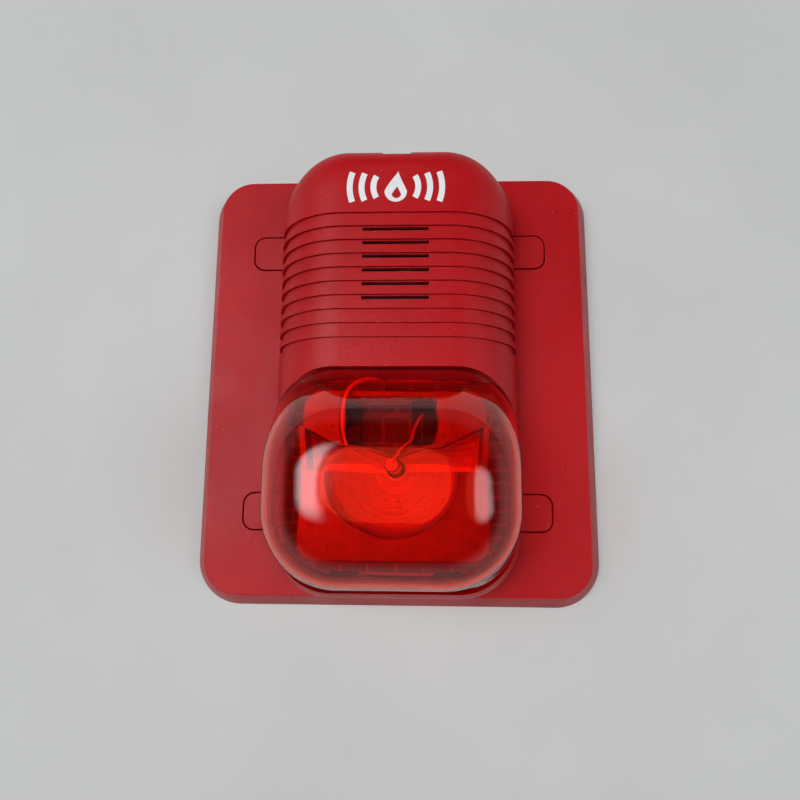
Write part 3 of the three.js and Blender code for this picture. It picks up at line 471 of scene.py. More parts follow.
def metallised_plastic():
    """Plastic with a bright vapour-deposited coat, a satin sheen and cloudy places; its top face and front
    are painted darker than the bowl and the trough, a painted shade.
    """
    finish = Finish("vapour coated plastic")
    cloud = finish.ranged(finish.noise(4 * MM, detail=6), 0.35, 0.7)
    bright = finish.blended(cloud, (0.9, 0.89, 0.87), (0.8, 0.78, 0.76))
    # Painted shade: a dark copy of the coating colour, laid on the top face and the front.
    plain = finish.blended(cloud, (0.27, 0.265, 0.255), (0.22, 0.215, 0.21))
    axes = finish.tree.nodes.new("ShaderNodeSeparateXYZ")
    finish.link(finish.place, axes.inputs["Vector"])
    hollow = finish.ranged(axes.outputs["Z"], REFLECTOR_HIGH.z - 0.2 * MM, REFLECTOR_HIGH.z - 5 * MM)
    lower = finish.ranged(axes.outputs["Y"], BOWL_Y + MM, BOWL_Y, 0, 1)
    sunk = finish.ranged(axes.outputs["Z"], FLANGE - 0.1 * MM, FLANGE - 0.5 * MM)
    # The lower bowl and everything below the flanges keep the bright coat; the rest takes the painted shade.
    coated_lit = finish.tree.nodes.new("ShaderNodeMath")
    coated_lit.operation = "MAXIMUM"
    finish.link(finish.times(hollow, lower), coated_lit.inputs[0])
    finish.link(sunk, coated_lit.inputs[1])
    coated_lit = coated_lit.outputs["Value"]
    finish.base(finish.blended(coated_lit, plain, bright))
    finish.rough(finish.ranged(finish.noise(2.5 * MM, detail=6), 0.3, 0.7, 0.26, 0.42))
    finish.bump((finish.noise(0.8 * MM, detail=3), 0.02 * MM), (finish.noise(5 * MM, detail=1), 0.12 * MM))
    finish.set(metallic=0.3)
    return finish.material


def tube_glass():
    finish = Finish("flash tube glass")
    finish.shader.inputs["Transmission Weight"].default_value = 1.0
    finish.shader.inputs["IOR"].default_value = 1.47
    smoke = finish.ranged(finish.noise(8 * MM, detail=2), 0.4, 0.7)
    finish.base(finish.blended(smoke, (0.95, 0.95, 0.96), (0.62, 0.58, 0.55)))
    finish.rough(finish.ranged(finish.noise(3 * MM), 0.3, 0.7, 0.0, 0.06))
    finish.bump((finish.noise(5 * MM, detail=1), 0.02 * MM))
    return finish.material


def board_finish():
    """Green solder mask over copper tracks on glass-epoxy."""
    finish = Finish("green circuit board")
    weave = finish.noise(0.9 * MM, detail=1)
    tracks = finish.tree.nodes.new("ShaderNodeTexBrick")
    tracks.inputs["Scale"].default_value = 60
    tracks.inputs["Mortar Size"].default_value = 0.035
    finish.link(finish.place, tracks.inputs["Vector"])
    copper = finish.ranged(tracks.outputs["Fac"], 0.2, 0.8)
    mask = finish.blended(finish.ranged(weave, 0.3, 0.7), (0.09, 0.12, 0.05), (0.13, 0.15, 0.065))
    finish.base(finish.blended(copper, mask, (0.2, 0.22, 0.1)))
    finish.rough(finish.ranged(finish.noise(4 * MM), 0.3, 0.7, 0.25, 0.45))
    finish.bump((copper, 0.03 * MM), (weave, 0.01 * MM))
    return finish.material


def label_film():
    finish = Finish("label film")
    creased = finish.noise(5 * MM, detail=5)
    finish.base(finish.blended(finish.ranged(creased, 0.35, 0.7), (0.70, 0.70, 0.68), (0.58, 0.58, 0.57)))
    finish.rough(finish.ranged(creased, 0.3, 0.7, 0.3, 0.5))
    finish.bump((creased, 0.02 * MM))
    return finish.material


RED = red_housing_plastic()
INK = white_print()
LENS = clear_red_lens()
GLASS = tube_glass()
BOARD = board_finish()
LABEL = label_film()
MIRROR = metallised_plastic()
STEEL = metal("zinc plated steel", (0.62, 0.61, 0.58), (0.44, 0.44, 0.43), (0.25, 0.45))
BRASS = metal("rolled brass", (0.62, 0.44, 0.17), (0.42, 0.28, 0.1), (0.22, 0.45), brushed=(0.1, 1, 1))
WIRE = metal(
    "tinned wire", (0.86, 0.84, 0.82), (0.7, 0.67, 0.65), (0.3, 0.5), brushed=(1, 1, 0.1), metallic=0.35
)
BLACK = moulded_plastic(
    "black moulded plastic", (0.022, 0.022, 0.024), (0.014, 0.014, 0.015), (0.07, 0.07, 0.072)
)
CUP = moulded_plastic("grey sounder plastic", (0.12, 0.095, 0.085), (0.085, 0.068, 0.06), (0.2, 0.17, 0.155))
EPOXY = moulded_plastic(
    "black epoxy", (0.03, 0.03, 0.032), (0.02, 0.02, 0.02), (0.09, 0.09, 0.09), grain=0.2 * MM
)
SLEEVE = moulded_plastic(
    "shrink sleeve", (0.02, 0.024, 0.035), (0.012, 0.014, 0.022), (0.12, 0.13, 0.15), rough=(0.2, 0.32)
)
TAPE = moulded_plastic(
    "polyester tape", (0.5, 0.33, 0.05), (0.4, 0.25, 0.035), (0.62, 0.48, 0.16), rough=(0.2, 0.3)
)
CERAMIC = moulded_plastic(
    "silvered ceramic", (0.66, 0.64, 0.6), (0.56, 0.54, 0.5), (0.78, 0.77, 0.74), rough=(0.35, 0.5)
)
WHITE = moulded_plastic("white moulded plastic", (0.74, 0.73, 0.69), (0.64, 0.62, 0.58), (0.82, 0.81, 0.78))
RED_LEAD = moulded_plastic(
    "red wire insulation", (0.42, 0.02, 0.02), (0.32, 0.014, 0.014), (0.5, 0.07, 0.06), rough=(0.35, 0.5)
)
BLACK_LEAD = moulded_plastic(
    "black wire insulation", (0.02, 0.02, 0.02), (0.013, 0.013, 0.013), (0.06, 0.06, 0.06), rough=(0.35, 0.5)
)


# ------------------------------------------------------------------ mounting plate

def plate_section(inset, z):
    """The plate's outline at a height, drawn in by its sloped sides and by a wall."""
    drawn = inset + PLATE_BEVEL * max(0.0, z - PLATE_LIP) / (PLATE_HIGH.z - PLATE_LIP)
    low, high = PLATE_LOW, PLATE_HIGH
    return section(low.x + drawn, high.x - drawn, low.y + drawn, high.y - drawn, PLATE_CORNER - drawn, z)


def mounting_plate():
    top = PLATE_HIGH.z
    levels = [plate_section(0, z) for z in (0, PLATE_LIP, top)]
    plate = part("wall_plate", stacked(levels, 20))
    wall = PLATE_SKIN * math.hypot(1, PLATE_BEVEL / (top - PLATE_LIP))
    under = [plate_section(wall, z) for z in (-MM, PLATE_LIP, top - PLATE_SKIN)]
    half_x, low_y, high_y = 32.25 * MM, -50 * MM, 54.5 * MM
    window = [section(-half_x, half_x, low_y, high_y, 4 * MM, z) for z in (-2 * MM, top + MM)]
    carve(plate, part("hollow", stacked(under, 16)), part("window", stacked(window, 8)))
    pocket_in = HOUSING_HALF - HOUSING_WALL - EAR_CLEARANCE
    pocket_out = HOUSING_HALF + EAR_REACH + EAR_CLEARANCE
    half = EAR_HALF + EAR_CLEARANCE
    round_end = EAR_ROUND + EAR_CLEARANCE
    cup_wall = 1.3 * MM
    pocket_floor = 2.5 * MM
    slot_half_length, slot_half_width = 4.75 * MM, 2.4 * MM
    cups, pockets, slots = bmesh.new(), bmesh.new(), bmesh.new()
    for side in (-1, 1):
        for end in (-1, 1):
            y = end * SCREW_Y
            inner, outer = side * pocket_in, side * pocket_out
            pocket = tongue_outline(inner, outer, y - half, y + half, round_end)
            cup = tongue_outline(
                inner - side * cup_wall,
                outer + side * cup_wall,
                y - half - cup_wall,
                y + half + cup_wall,
                round_end + cup_wall,
            )
            prism(cups, cup, 0, top - 1.5 * MM)
            prism(pockets, pocket, pocket_floor, top + MM)
            x = side * SCREW_X
            left, right = x - slot_half_length, x + slot_half_length
            low, high = y - slot_half_width, y + slot_half_width
            slot = [section(left, right, low, high, 2.39 * MM, z) for z in (-MM, 4 * MM)]
            stacked(slot, 10, slots)
    combine(plate, part("cups", cups), "UNION")
    carve(plate, part("pockets", pockets), part("slots", slots))
    notches = bmesh.new()
    for side in (-1, 1):
        x = side * HOOK_X
        y = SHELL_LOW.y + HOUSING_WALL
        reach = HOOK_HALF + 0.6 * MM
        block(x - reach, x + reach, y - 0.2 * MM, y + 3.8 * MM, 0, top + MM, notches)
    carve(plate, part("notches", notches))
    ease(plate, 0.3 * MM, 2)
    finish_piece(plate, "plate", RED, "red_plastic", "mounting_plate")


# ------------------------------------------------------------------ horn housing

def drawn_in(z, face, radius):
    """How far a rounded edge has drawn in at a height below the face."""
    above = z - (face - radius)
    return 0.0 if above <= 0 else radius - math.sqrt(max(0.0, radius * radius - above * above))


def housing_levels(inset, base, steps=20):
    face = HOUSING_FACE - inset
    side = SIDE_ROUND - inset
    centre = face - side
    heights = [base, centre] + [centre + side * math.sin(math.pi / 2 * (i + 1) / steps) for i in range(steps)]
    levels = []
    for z in heights:
        draw = drawn_in(z, face, side)
        half = HOUSING_HALF - inset - draw
        levels.append(
            section(
                -half,
                half,
                SHELL_LOW.y + inset + drawn_in(z, face, LOW_ROUND - inset),
                SHELL_HIGH.y - inset - drawn_in(z, face, TOP_ROUND - inset),
                CORNER_ROUND - inset - (CORNER_ROUND - FACE_CORNER_ROUND) * draw / side,
                z,
            )
        )
    return levels


def housing():
    shell = part("horn_housing", stacked(housing_levels(0, HOUSING_SEAT), 16))
    bands = bmesh.new()
    reach = HOUSING_HALF + MM
    for i in range(GROOVE_COUNT):
        top = GROOVE_TOP - i * GROOVE_PITCH
        block(-reach, reach, top - GROOVE_WIDTH, top, 0, HOUSING_FACE + MM, bands)
    bands = carve(part("bands", bands), part("core", stacked(housing_levels(GROOVE_DEPTH, -1 * MM), 16)))
    hollow = part("hollow", stacked(housing_levels(HOUSING_WALL, 0), 14))
    carve(shell, bands)
    slots = bmesh.new()
    for i in range(6):
        y = GROOVE_TOP - (i + 1) * GROOVE_PITCH - 0.35 * GROOVE_WIDTH
        low, high = y - 0.5 * MM, y + 0.5 * MM
        block(-SLOT_HALF, SLOT_HALF, low, high, HOUSING_FACE - 5 * MM, HOUSING_FACE + MM, slots)
    carve(shell, hollow, part("slots", slots))
    sill, slot_half, slot_height = 27.3 * MM, 4.35 * MM, 4.5 * MM
    top = SHELL_HIGH.y
    release = block(-slot_half, slot_half, top - TOP_ROUND, top + MM, sill, sill + slot_height)
    left, right = LENS_LOW.x - 0.3 * MM, LENS_HIGH.x + 0.3 * MM
    low, high = SHELL_LOW.y + 2.35 * MM, -1.4 * MM
    hole = [section(left, right, low, high, 17 * MM, z) for z in (ON_BOARD - 0.6 * MM, 60 * MM)]
    carve(shell, part("release", release), part("hole", stacked(hole, 24)))
    core = part("core", stacked(housing_levels(MM, HOUSING_SEAT), 14))
    posts, pilots = bmesh.new(), bmesh.new()
    for i in range(1, 5):
        low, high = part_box(f"rear_screw_{i}")
        x, y = (low.x + high.x) / 2, (low.y + high.y) / 2
        turned([(0, ON_BOARD), (3.2 * MM, ON_BOARD), (3.2 * MM, 33 * MM), (0, 33 * MM)], x, y, 32, posts)
        deep = high.z + 0.3 * MM
        turned([(0, ON_BOARD - MM), (1.7 * MM, ON_BOARD - MM), (1.7 * MM, deep), (0, deep)], x, y, 24, pilots)
    carve(combine(shell, combine(part("posts", posts), core, "INTERSECT"), "UNION"), part("pilots", pilots))
    ears, necks = bmesh.new(), bmesh.new()
    under = PLATE_HIGH.z - EAR_THICKNESS
    for side in (-1, 1):
        for end in (-1, 1):
            low, high = end * SCREW_Y - EAR_HALF, end * SCREW_Y + EAR_HALF
            root = side * (HOUSING_HALF - HOUSING_WALL)
            tip = side * (HOUSING_HALF + EAR_REACH)
            prism(ears, tongue_outline(root, tip, low, high, EAR_ROUND), under, PLATE_HIGH.z)
            x0, x1 = sorted((root, side * HOUSING_HALF))
            block(x0, x1, low, high, under, HOUSING_SEAT + 1.2 * MM, necks)
    combine(shell, part("ears", ears), "UNION")
    combine(shell, part("necks", necks), "UNION")
    stems, toes = bmesh.new(), bmesh.new()
    inner = SHELL_LOW.y + HOUSING_WALL
    foot, root = SHELL_LOW.z, HOUSING_SEAT + HOOK_ROOT
    for side in (-1, 1):
        left, right = side * HOOK_X - HOOK_HALF, side * HOOK_X + HOOK_HALF
        block(left, right, inner + 0.2 * MM, inner + 2.2 * MM, foot, root, stems)
        block(left, right, inner - 1.6 * MM, inner + MM, foot, foot + 1.2 * MM, toes)
        block(left, right, inner - MM, inner + MM, HOUSING_SEAT, root, toes)
    combine(shell, part("stems", stems), "UNION")
    combine(shell, part("toes", toes), "UNION")
    ease(shell, 0.22 * MM, 2)
    finish_piece(shell, "housing", RED, "red_plastic", "housing_shell")


# ------------------------------------------------------------------ lens

def lens_levels(inset, base):
    """The dome's outlines from its foot to its top: nearly upright sides, then a rounded crown."""
    shoulder = 45 * MM
    top = LENS_HIGH.z - inset
    crown, dome = 16 * MM, top - shoulder
    low_end, high_end = LENS_LOW.y + 1.2 * MM, LENS_HIGH.y - 2.4 * MM

    def rising(s, straight):
        return straight * s + (1 - straight) * (1 - math.sqrt(max(0.0, 1 - s * s)))

    heights = [base + (HOUSING_FACE - base) * i / 4 for i in range(5)]
    heights += [HOUSING_FACE + (shoulder - HOUSING_FACE) * (i + 1) / 10 for i in range(10)]
    heights += [shoulder + dome * math.sin(math.pi / 2 * (i + 1) / 22) for i in range(22)]
    levels = []
    for z in heights:
        share = max(0.0, z - ON_BOARD) / (shoulder - ON_BOARD)
        over = max(0.0, (z - shoulder) / dome)
        past = max(0.0, (z - HOUSING_FACE) / (top - HOUSING_FACE))
        side = 1.8 * MM * min(1.0, share) + 0.9 * MM * past**2 + crown * rising(over, 0.048)
        low = 3.6 * MM * min(1.0, share) + crown * rising(over, 0.095)
        high = 22.6 * MM * rising(past, 0.517)
        fuller = 4.5 * MM * past**0.5 * (1 - min(1.0, over) ** 2)
        radius = 16.5 * MM + fuller - 0.45 * crown * rising(over, 0.1) - inset
        radius = min(radius, 0.49 * (high_end - low_end - low - high) - inset)
        left, right = LENS_LOW.x + side + inset, LENS_HIGH.x - side - inset
        levels.append(section(left, right, low_end + low + inset, high_end - high - inset, radius, z))
    return levels


def lens():
    dome = part("strobe_lens", stacked(lens_levels(0, LENS_LOW.z), 24), 60)
    lugs = bmesh.new()
    for side in (-1, 1):
        left, right = side * LUG_X - LUG_HALF, side * LUG_X + LUG_HALF
        top = HOUSING_FACE - HOUSING_WALL - 0.6 * MM
        block(left, right, LENS_HIGH.y - 3.4 * MM, LENS_HIGH.y, top - 2.4 * MM, top, lugs)
        low = ON_BOARD + 0.6 * MM
        block(left, right, LENS_LOW.y, LENS_LOW.y + 2.2 * MM, low, low + 2 * MM, lugs)
    combine(dome, part("lugs", lugs), "UNION")
    carve(dome, part("hollow", stacked(lens_levels(2 * MM, LENS_LOW.z - MM), 24)))
    finish_piece(dome, "housing", LENS, "clear_red_plastic", "lens")


# ------------------------------------------------------------------ reflector and flash tube

RINGS = [2.6, 3.9, 6.2, 8.0, 9.7, 11.0, 12.8, 14.4, 15.9, 17.5]


def ringed_curve():
    """The bowl's section from its flat bottom to its rim, with a fine groove at each ring."""
    floor = REFLECTOR_LOW.z + 1.5 * MM
    depth = REFLECTOR_HIGH.z - floor
    groove, lip, half = 0.5 * MM, 0.06 * MM, 0.16 * MM
    run = []
    for ring in RINGS:
        radius = ring * MM
        height = floor + depth * (radius / BOWL_RADIUS) ** 2
        run += [(radius - half, height), (radius, height - groove), (radius + half, height + lip)]
    return [(0, floor), (run[0][0], floor), *run[1:], (BOWL_RADIUS, REFLECTOR_HIGH.z)]


def half_bowl():
    """The cutter for the lower half of the bowl."""
    top = REFLECTOR_HIGH.z + 2 * MM
    bm = turned([*ringed_curve(), (BOWL_RADIUS, top), (0, top)], TUBE_X, BOWL_Y, 96)
    split = bmesh.ops.bisect_plane(
        bm,
        geom=bm.verts[:] + bm.edges[:] + bm.faces[:],
        plane_co=(0, BOWL_Y, 0),
        plane_no=(0, 1, 0),
        clear_outer=True,
    )
    rim = [item for item in split["geom_cut"] if isinstance(item, bmesh.types.BMEdge)]
    bmesh.ops.contextual_create(bm, geom=rim)
    bmesh.ops.recalc_face_normals(bm, faces=bm.faces[:])
    return part("half_bowl", bm)


def half_trough():
    """The cutter for the trough above the bowl, the same curve run straight to both sides."""
    top = REFLECTOR_HIGH.z + 2 * MM
    left, right = REFLECTOR_LOW.x + 1.5 * MM, REFLECTOR_HIGH.x - 1.5 * MM
    outline = [(BOWL_Y + radius, z) for radius, z in ringed_curve()]
    outline += [(BOWL_Y + BOWL_RADIUS, top), (BOWL_Y - 0.1 * MM, top), (BOWL_Y - 0.1 * MM, outline[0][1])]
    bm = bmesh.new()
    ring = [bm.verts.new((left, y, z)) for y, z in outline]
    made = bmesh.ops.extrude_face_region(bm, geom=[bm.faces.new(ring)])
    moved = [item for item in made["geom"] if isinstance(item, bmesh.types.BMVert)]
    bmesh.ops.translate(bm, verts=moved, vec=(right - left, 0, 0))
    bmesh.ops.recalc_face_normals(bm, faces=bm.faces[:])
    return part("half_trough", bm)


def upright(name, points, z0, z1):
    return part(name, prism(bmesh.new(), points, z0, z1))


def reflector():
    low, high = REFLECTOR_LOW, REFLECTOR_HIGH
    outline = [section(low.x, high.x, low.y, high.y, 5 * MM, z) for z in (low.z, high.z)]
    body = part("strobe_reflector", stacked(outline, 10))
    tip_y, point_y, out = high.y - 8.9 * MM, TUBE_Y + 2.5 * MM, MM
    flanges = [
        (low.x - out, high.y + out),
        (low.x - out, tip_y),
        (-out, point_y),
        (out, point_y),
        (high.x + out, tip_y),
        (high.x + out, high.y + out),
    ]
    trough = carve(half_trough(), upright("under_flanges", flanges, low.z - MM, high.z + 4 * MM))
    bar_y, shoulder_y, window_point = high.y - 1.2 * MM, high.y - 10.3 * MM, TUBE_Y + 3.3 * MM
    window = [
        (-15.4 * MM, bar_y),
        (-15.4 * MM, shoulder_y),
        (-1.3 * MM, window_point),
        (1.3 * MM, window_point),
        (12 * MM, shoulder_y),
        (12 * MM, bar_y),
    ]
    well = [(0, low.z - MM), (2.8 * MM, low.z - MM), (2.8 * MM, low.z + 4 * MM), (0, low.z + 4 * MM)]
    carve(
        body,
        half_bowl(),
        trough,
        upright("above_flanges", flanges, FLANGE, high.z + MM),
        upright("window", window, low.z - MM, high.z + MM),
        part("well", turned(well, TUBE_X, TUBE_Y, 48)),
    )
    finish_piece(body, "housing", MIRROR, "mirror_coating", "reflector")


def flash_tube():
    low, high = TUBE_LOW.z, TUBE_HIGH.z
    radius = TUBE_HIGH.x - TUBE_X
    rim = 0.8 * MM
    shoulder = arc(radius - rim, high - rim, rim, 0, 90, 6)
    foot = arc(radius - rim, low + rim, rim, -90, 0, 6)
    outer = [(0, low), *foot, *shoulder, (0, high)]
    tube = part("xenon_tube", turned(outer, TUBE_X, TUBE_Y, 48), 50)
    finish_piece(tube, "housing", GLASS, "tube_glass", "flash_tube")
    for name in ("tube_cap_front", "tube_cap_rear"):
        cap_low, cap_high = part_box(name)
        r = cap_high.x - TUBE_X
        rim = 0.4 * MM
        profile = [(0, cap_low.z), *arc(r - rim, cap_low.z + rim, rim, -90, 0, 4)]
        waist = (cap_low.z + cap_high.z) / 2
        profile += [(r, waist - 0.2 * MM), (r - 0.15 * MM, waist), (r, waist + 0.2 * MM)]
        profile += [*arc(r - rim, cap_high.z - rim, rim, 0, 90, 4), (0, cap_high.z)]
        cap = part(name.replace("tube_cap", "tube_ferrule"), turned(profile, TUBE_X, TUBE_Y, 40))
        finish_piece(cap, "housing", WIRE, "bright_wire", name)


# ------------------------------------------------------------------ refined mechanical pieces

def rounded_wire(node, name, material, slot):
    """A round wire at its true course, smoothed along and around."""
    bm = bmesh.new()
    bm.from_mesh(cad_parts[node].data)
    bmesh.ops.remove_doubles(bm, verts=bm.verts[:], dist=1e-6)
    flat, square = math.radians(25), math.radians(60)
    bmesh.ops.join_triangles(bm, faces=bm.faces[:], angle_face_threshold=flat, angle_shape_threshold=square)
    wire = part(name, bm, 80)
    step = wire.modifiers.new("round", "SUBSURF")
    step.levels = step.render_levels = 2
    return finish_piece(wire, "housing", material, slot, node)


def refined(node, name, body, material, slot, width=0.15 * MM, segments=2):
    """The piece at its true shape, with its facets joined and its edges broken."""
    bm = bmesh.new()
    bm.from_mesh(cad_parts[node].data)
    bmesh.ops.remove_doubles(bm, verts=bm.verts[:], dist=1e-6)
    bmesh.ops.dissolve_limit(bm, angle_limit=math.radians(1), verts=bm.verts[:], edges=bm.edges[:])
    obj = part(name, bm)
    ease(obj, width, segments, 40)
    return finish_piece(obj, body, material, slot, node)


def other_pieces():
    refined("latch_tongue", "release_latch", "latch", RED, "red_plastic", 0.2 * MM)
    rounded_wire("trigger_wire", "trigger_lead", WIRE, "bright_wire")
    rounded_wire("tube_lead", "anode_lead", WIRE, "bright_wire")
    refined("contact_clip_left", "left_clip", "housing", BLACK, "black_plastic")
    refined("contact_clip_right", "right_clip", "housing", BLACK, "black_plastic")
    refined("sounder_cup", "sounder_body", "housing", CUP, "sounder_plastic", 0.2 * MM)
    refined("sounder_disc", "piezo_disc", "housing", BRASS, "brass", 0.05 * MM, 1)
    refined("sounder_ceramic", "piezo_ceramic", "housing", CERAMIC, "ceramic", 0.05 * MM, 1)
    refined("sounder_retaining_ring", "retaining_ring", "housing", BLACK, "black_plastic")
    rounded_wire("sounder_wire_red", "red_sounder_lead", RED_LEAD, "red_lead")
    rounded_wire("sounder_wire_black", "black_sounder_lead", BLACK_LEAD, "black_lead")
    refined("circuit_board", "printed_board", "housing", BOARD, "board_green", 0.08 * MM)
    refined("flash_capacitor", "storage_capacitor", "housing", SLEEVE, "capacitor_sleeve")
    refined("filter_capacitor", "small_capacitor", "housing", SLEEVE, "capacitor_sleeve", 0.1 * MM)
    refined("trigger_transformer", "trigger_coil", "housing", TAPE, "transformer_tape")
    refined("power_inductor", "wound_inductor", "housing", EPOXY, "component_black")
    refined("switching_transistor", "power_transistor", "housing", EPOXY, "component_black")
    refined("controller_chip", "control_chip", "housing", EPOXY, "component_black", 0.08 * MM)
    refined("rear_cover", "back_cover", "housing", BLACK, "black_plastic", 0.2 * MM)
    refined("rear_label", "back_label", "housing", LABEL, "label_paper", 0.04 * MM, 1)
    refined("terminal_block", "wiring_block", "housing", BLACK, "black_plastic")
    refined("switch_base", "selector_base", "housing", BLACK, "black_plastic")
    for i in range(1, 5):
        refined(f"rear_screw_{i}", f"cover_screw_{i}", "housing", STEEL, "plated_steel", 0.08 * MM)
        refined(f"terminal_contact_{i}", f"contact_bar_{i}", "housing", BRASS, "brass", 0.1 * MM)
        refined(f"clamp_plate_{i}", f"wire_clamp_{i}", f"clamp_{i}", STEEL, "plated_steel", 0.1 * MM)
        refined(f"terminal_screw_{i}", f"clamp_screw_{i}", f"screw_{i}", STEEL, "plated_steel", 0.08 * MM)
    for i in range(1, 4):
        refined(f"switch_slider_{i}", f"selector_knob_{i}", f"slider_{i}", WHITE, "slider_white", 0.12 * MM)


# ------------------------------------------------------------------ printed symbol and moulded arrow

def face_height(x, y):
    """Height of the housing's face, with its rounded side and top edges."""
    side = max(0.0, abs(x) - (HOUSING_HALF - SIDE_ROUND))
    end = max(0.0, y - (SHELL_HIGH.y - TOP_ROUND))
    drop_side = SIDE_ROUND - math.sqrt(SIDE_ROUND**2 - side**2)
    drop_end = TOP_ROUND - math.sqrt(TOP_ROUND**2 - end**2)
    return HOUSING_FACE - drop_side - drop_end


def raised_print(name, bm, thickness):
    """Lays flat shapes on the housing's face and gives them a thickness."""
    sunk = 0.04 * MM
    for vert in bm.verts:
        vert.co.z = face_height(vert.co.x, vert.co.y) - sunk
    made = bmesh.ops.extrude_face_region(bm, geom=bm.faces[:])
    raised = [item for item in made["geom"] if isinstance(item, bmesh.types.BMVert)]
    bmesh.ops.translate(bm, verts=raised, vec=(0, 0, thickness + sunk))
    bmesh.ops.recalc_face_normals(bm, faces=bm.faces[:])
    return part(name, bm)


def flame_loop(bm, width, height, lean, x, y, count=40):
    """A pointed flame outline."""
    ring = []
    for i in range(count):
        turn = 2 * math.pi * i / count
        up = math.sin(turn)
        across = math.cos(turn) * (1 - max(0.0, up)) ** 0.75
        tip = lean * max(0.0, up) ** 2
        rise = up if up < 0 else 1.9 * up
        ring.append(bm.verts.new((x + width * across + tip, y + height * rise, 0)))
    return [bm.edges.new((a, b)) for a, b in zip(ring, ring[1:] + ring[:1])]


def alarm_symbol():
    """A plain flame between two sets of sound arcs."""
    bm = bmesh.new()
    middle = 51.0 * MM
    outer = flame_loop(bm, 3.3 * MM, 3.3 * MM, 0.8 * MM, 0, middle)
    inner = flame_loop(bm, 1.35 * MM, 1.3 * MM, 0.3 * MM, 0.2 * MM, middle - 0.9 * MM)
    bmesh.ops.bridge_loops(bm, edges=outer + inner)
    centre = Vector((0, 52.4 * MM, 0))
    stroke = 1.75 * MM
    for radius, spread in ((6.6, 31), (10.1, 25), (13.6, 20)):
        for facing in (0, 180):
            start = math.radians(facing - spread)
            outward = Vector((math.cos(start), math.sin(start), 0))
            reaches = (radius * MM - stroke / 2, radius * MM + stroke / 2)
            ends = [bm.verts.new(centre + outward * reach) for reach in reaches]
            line = bm.edges.new(ends)
            turn = math.radians(2 * spread)
            bmesh.ops.spin(bm, geom=[*ends, line], cent=centre, axis=(0, 0, 1), angle=turn, steps=14)
    symbol = raised_print("printed_symbol", bm, 0.06 * MM)
    finish_piece(symbol, "housing", INK, "red_plastic")


def release_arrow():
    bm = bmesh.new()
    points = [(-1.3, 59.2), (1.3, 59.2), (0, 61.0)]
    bm.faces.new([bm.verts.new((x * MM, y * MM, 0)) for x, y in points])
    bmesh.ops.subdivide_edges(bm, edges=bm.edges[:], cuts=3, use_grid_fill=True)
    arrow = raised_print("moulded_arrow", bm, 0.14 * MM)
    finish_piece(arrow, "housing", RED, "red_plastic")


# ------------------------------------------------------------------ studio

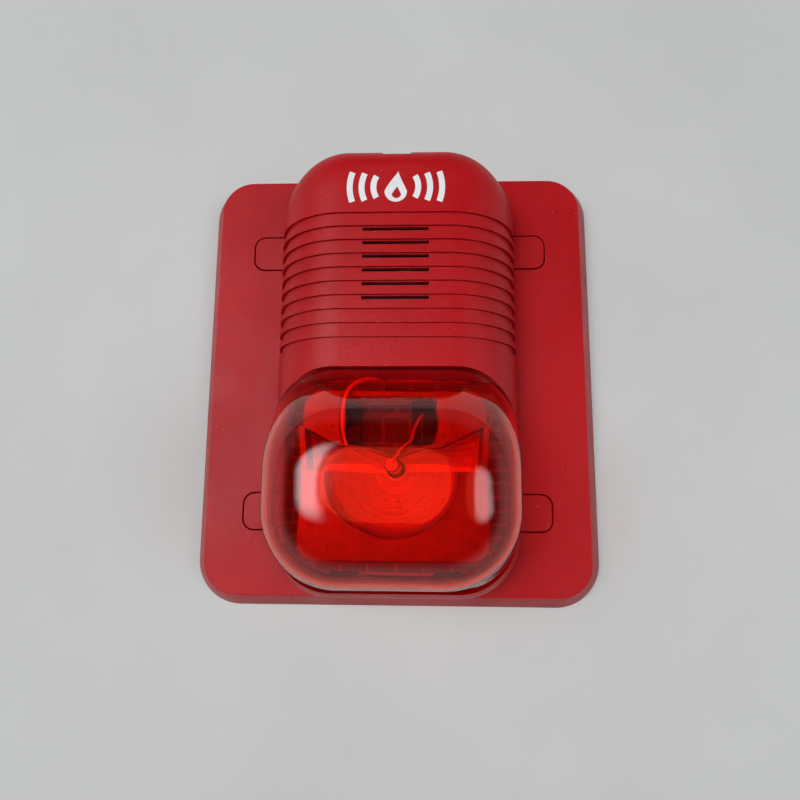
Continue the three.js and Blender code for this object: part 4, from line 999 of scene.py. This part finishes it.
def studio():
    floor = bmesh.new()
    bmesh.ops.create_grid(floor, x_segments=1, y_segments=1, size=1.6)
    bmesh.ops.translate(floor, verts=floor.verts[:], vec=(0, 0, -0.05 * MM))
    table = part("table_top", floor)
    finish = Finish("pale painted table")
    soft = finish.ranged(finish.noise(90 * MM, detail=3), 0.3, 0.7)
    finish.base(finish.blended(soft, (0.53, 0.53, 0.515), (0.57, 0.57, 0.555)))
    finish.rough(finish.ranged(finish.noise(20 * MM), 0.3, 0.7, 0.6, 0.75))
    finish.bump((finish.noise(3 * MM, detail=4), 0.03 * MM))
    table.data.materials.append(finish.material)

    world = bpy.data.worlds.new("studio")
    bpy.context.scene.world = world
    world.use_nodes = True
    sky = world.node_tree
    background = sky.nodes["Background"]
    background.inputs["Color"].default_value = (0.93, 0.96, 1.0, 1)
    direction = sky.nodes.new("ShaderNodeTexCoord")

    def glow(measure, start, end, strength, rest=0.0):
        """A brightness that eases from a strength to a rest value."""
        fade = sky.nodes.new("ShaderNodeMapRange")
        fade.interpolation_type = "SMOOTHSTEP"
        for name, value in (("From Min", start), ("From Max", end), ("To Min", strength), ("To Max", rest)):
            fade.inputs[name].default_value = value
        sky.links.new(measure, fade.inputs["Value"])
        return fade.outputs["Result"]

    def patch(centre, reach, strength):
        """A soft oval patch of bright sky, placed by the level part of its direction."""
        away = sky.nodes.new("ShaderNodeVectorMath")
        away.operation = "SUBTRACT"
        sky.links.new(direction.outputs["Generated"], away.inputs[0])
        away.inputs[1].default_value = (*centre, 0)
        scaled = sky.nodes.new("ShaderNodeVectorMath")
        scaled.operation = "DIVIDE"
        sky.links.new(away.outputs["Vector"], scaled.inputs[0])
        scaled.inputs[1].default_value = (*reach, 1000)
        length = sky.nodes.new("ShaderNodeVectorMath")
        length.operation = "LENGTH"
        sky.links.new(scaled.outputs["Vector"], length.inputs[0])
        return glow(length.outputs["Value"], 0.6, 1.1, strength)

    def joined(first, second, operation):
        both = sky.nodes.new("ShaderNodeMath")
        both.operation = operation
        sky.links.new(first, both.inputs[0])
        sky.links.new(second, both.inputs[1])
        return both.outputs["Value"]

    axes = sky.nodes.new("ShaderNodeSeparateXYZ")
    sky.links.new(direction.outputs["Generated"], axes.inputs["Vector"])
    horizon = glow(axes.outputs["Z"], 0.1, 0.5, 0.62, 0.03)
    total = joined(horizon, glow(axes.outputs["Y"], 0.0, 0.7, 1.0, 0.3), "MULTIPLY")
    total = joined(total, patch((-0.48, 0.08), (0.3, 0.32), 7.0), "ADD")
    total = joined(total, patch((0.66, -0.06), (0.22, 0.27), 4.2), "ADD")
    sky.links.new(total, background.inputs["Strength"])

    lamp = bpy.data.lights.new("ceiling_light", "AREA")
    lamp.size = 0.5
    lamp.energy = 3.1
    lamp.color = (1.0, 0.99, 0.97)
    ceiling = bpy.data.objects.new("ceiling_light", lamp)
    ceiling.location = (-0.12, 0.05, 1.0)
    ceiling.rotation_euler = (-ceiling.location).to_track_quat("-Z", "Y").to_euler()
    ceiling.visible_glossy = False
    bpy.context.scene.collection.objects.link(ceiling)


def camera():
    lens_data = bpy.data.cameras.new("front_camera")
    lens_data.lens = 27.045
    lens_data.sensor_width = 36
    lens_data.clip_start = 0.01
    view = bpy.data.objects.new("front_camera", lens_data)
    view.location = (0.007349, -0.036997, 0.197906)
    view.rotation_mode = "ZYX"
    view.rotation_euler = (0.1563, 0.0340, 0.0017)
    bpy.context.scene.collection.objects.link(view)
    bpy.context.scene.camera = view


camera()
studio()
mounting_plate()
housing()
lens()
reflector()
flash_tube()
other_pieces()
alarm_symbol()
release_arrow()

bpy.context.scene.view_settings.view_transform = "Standard"
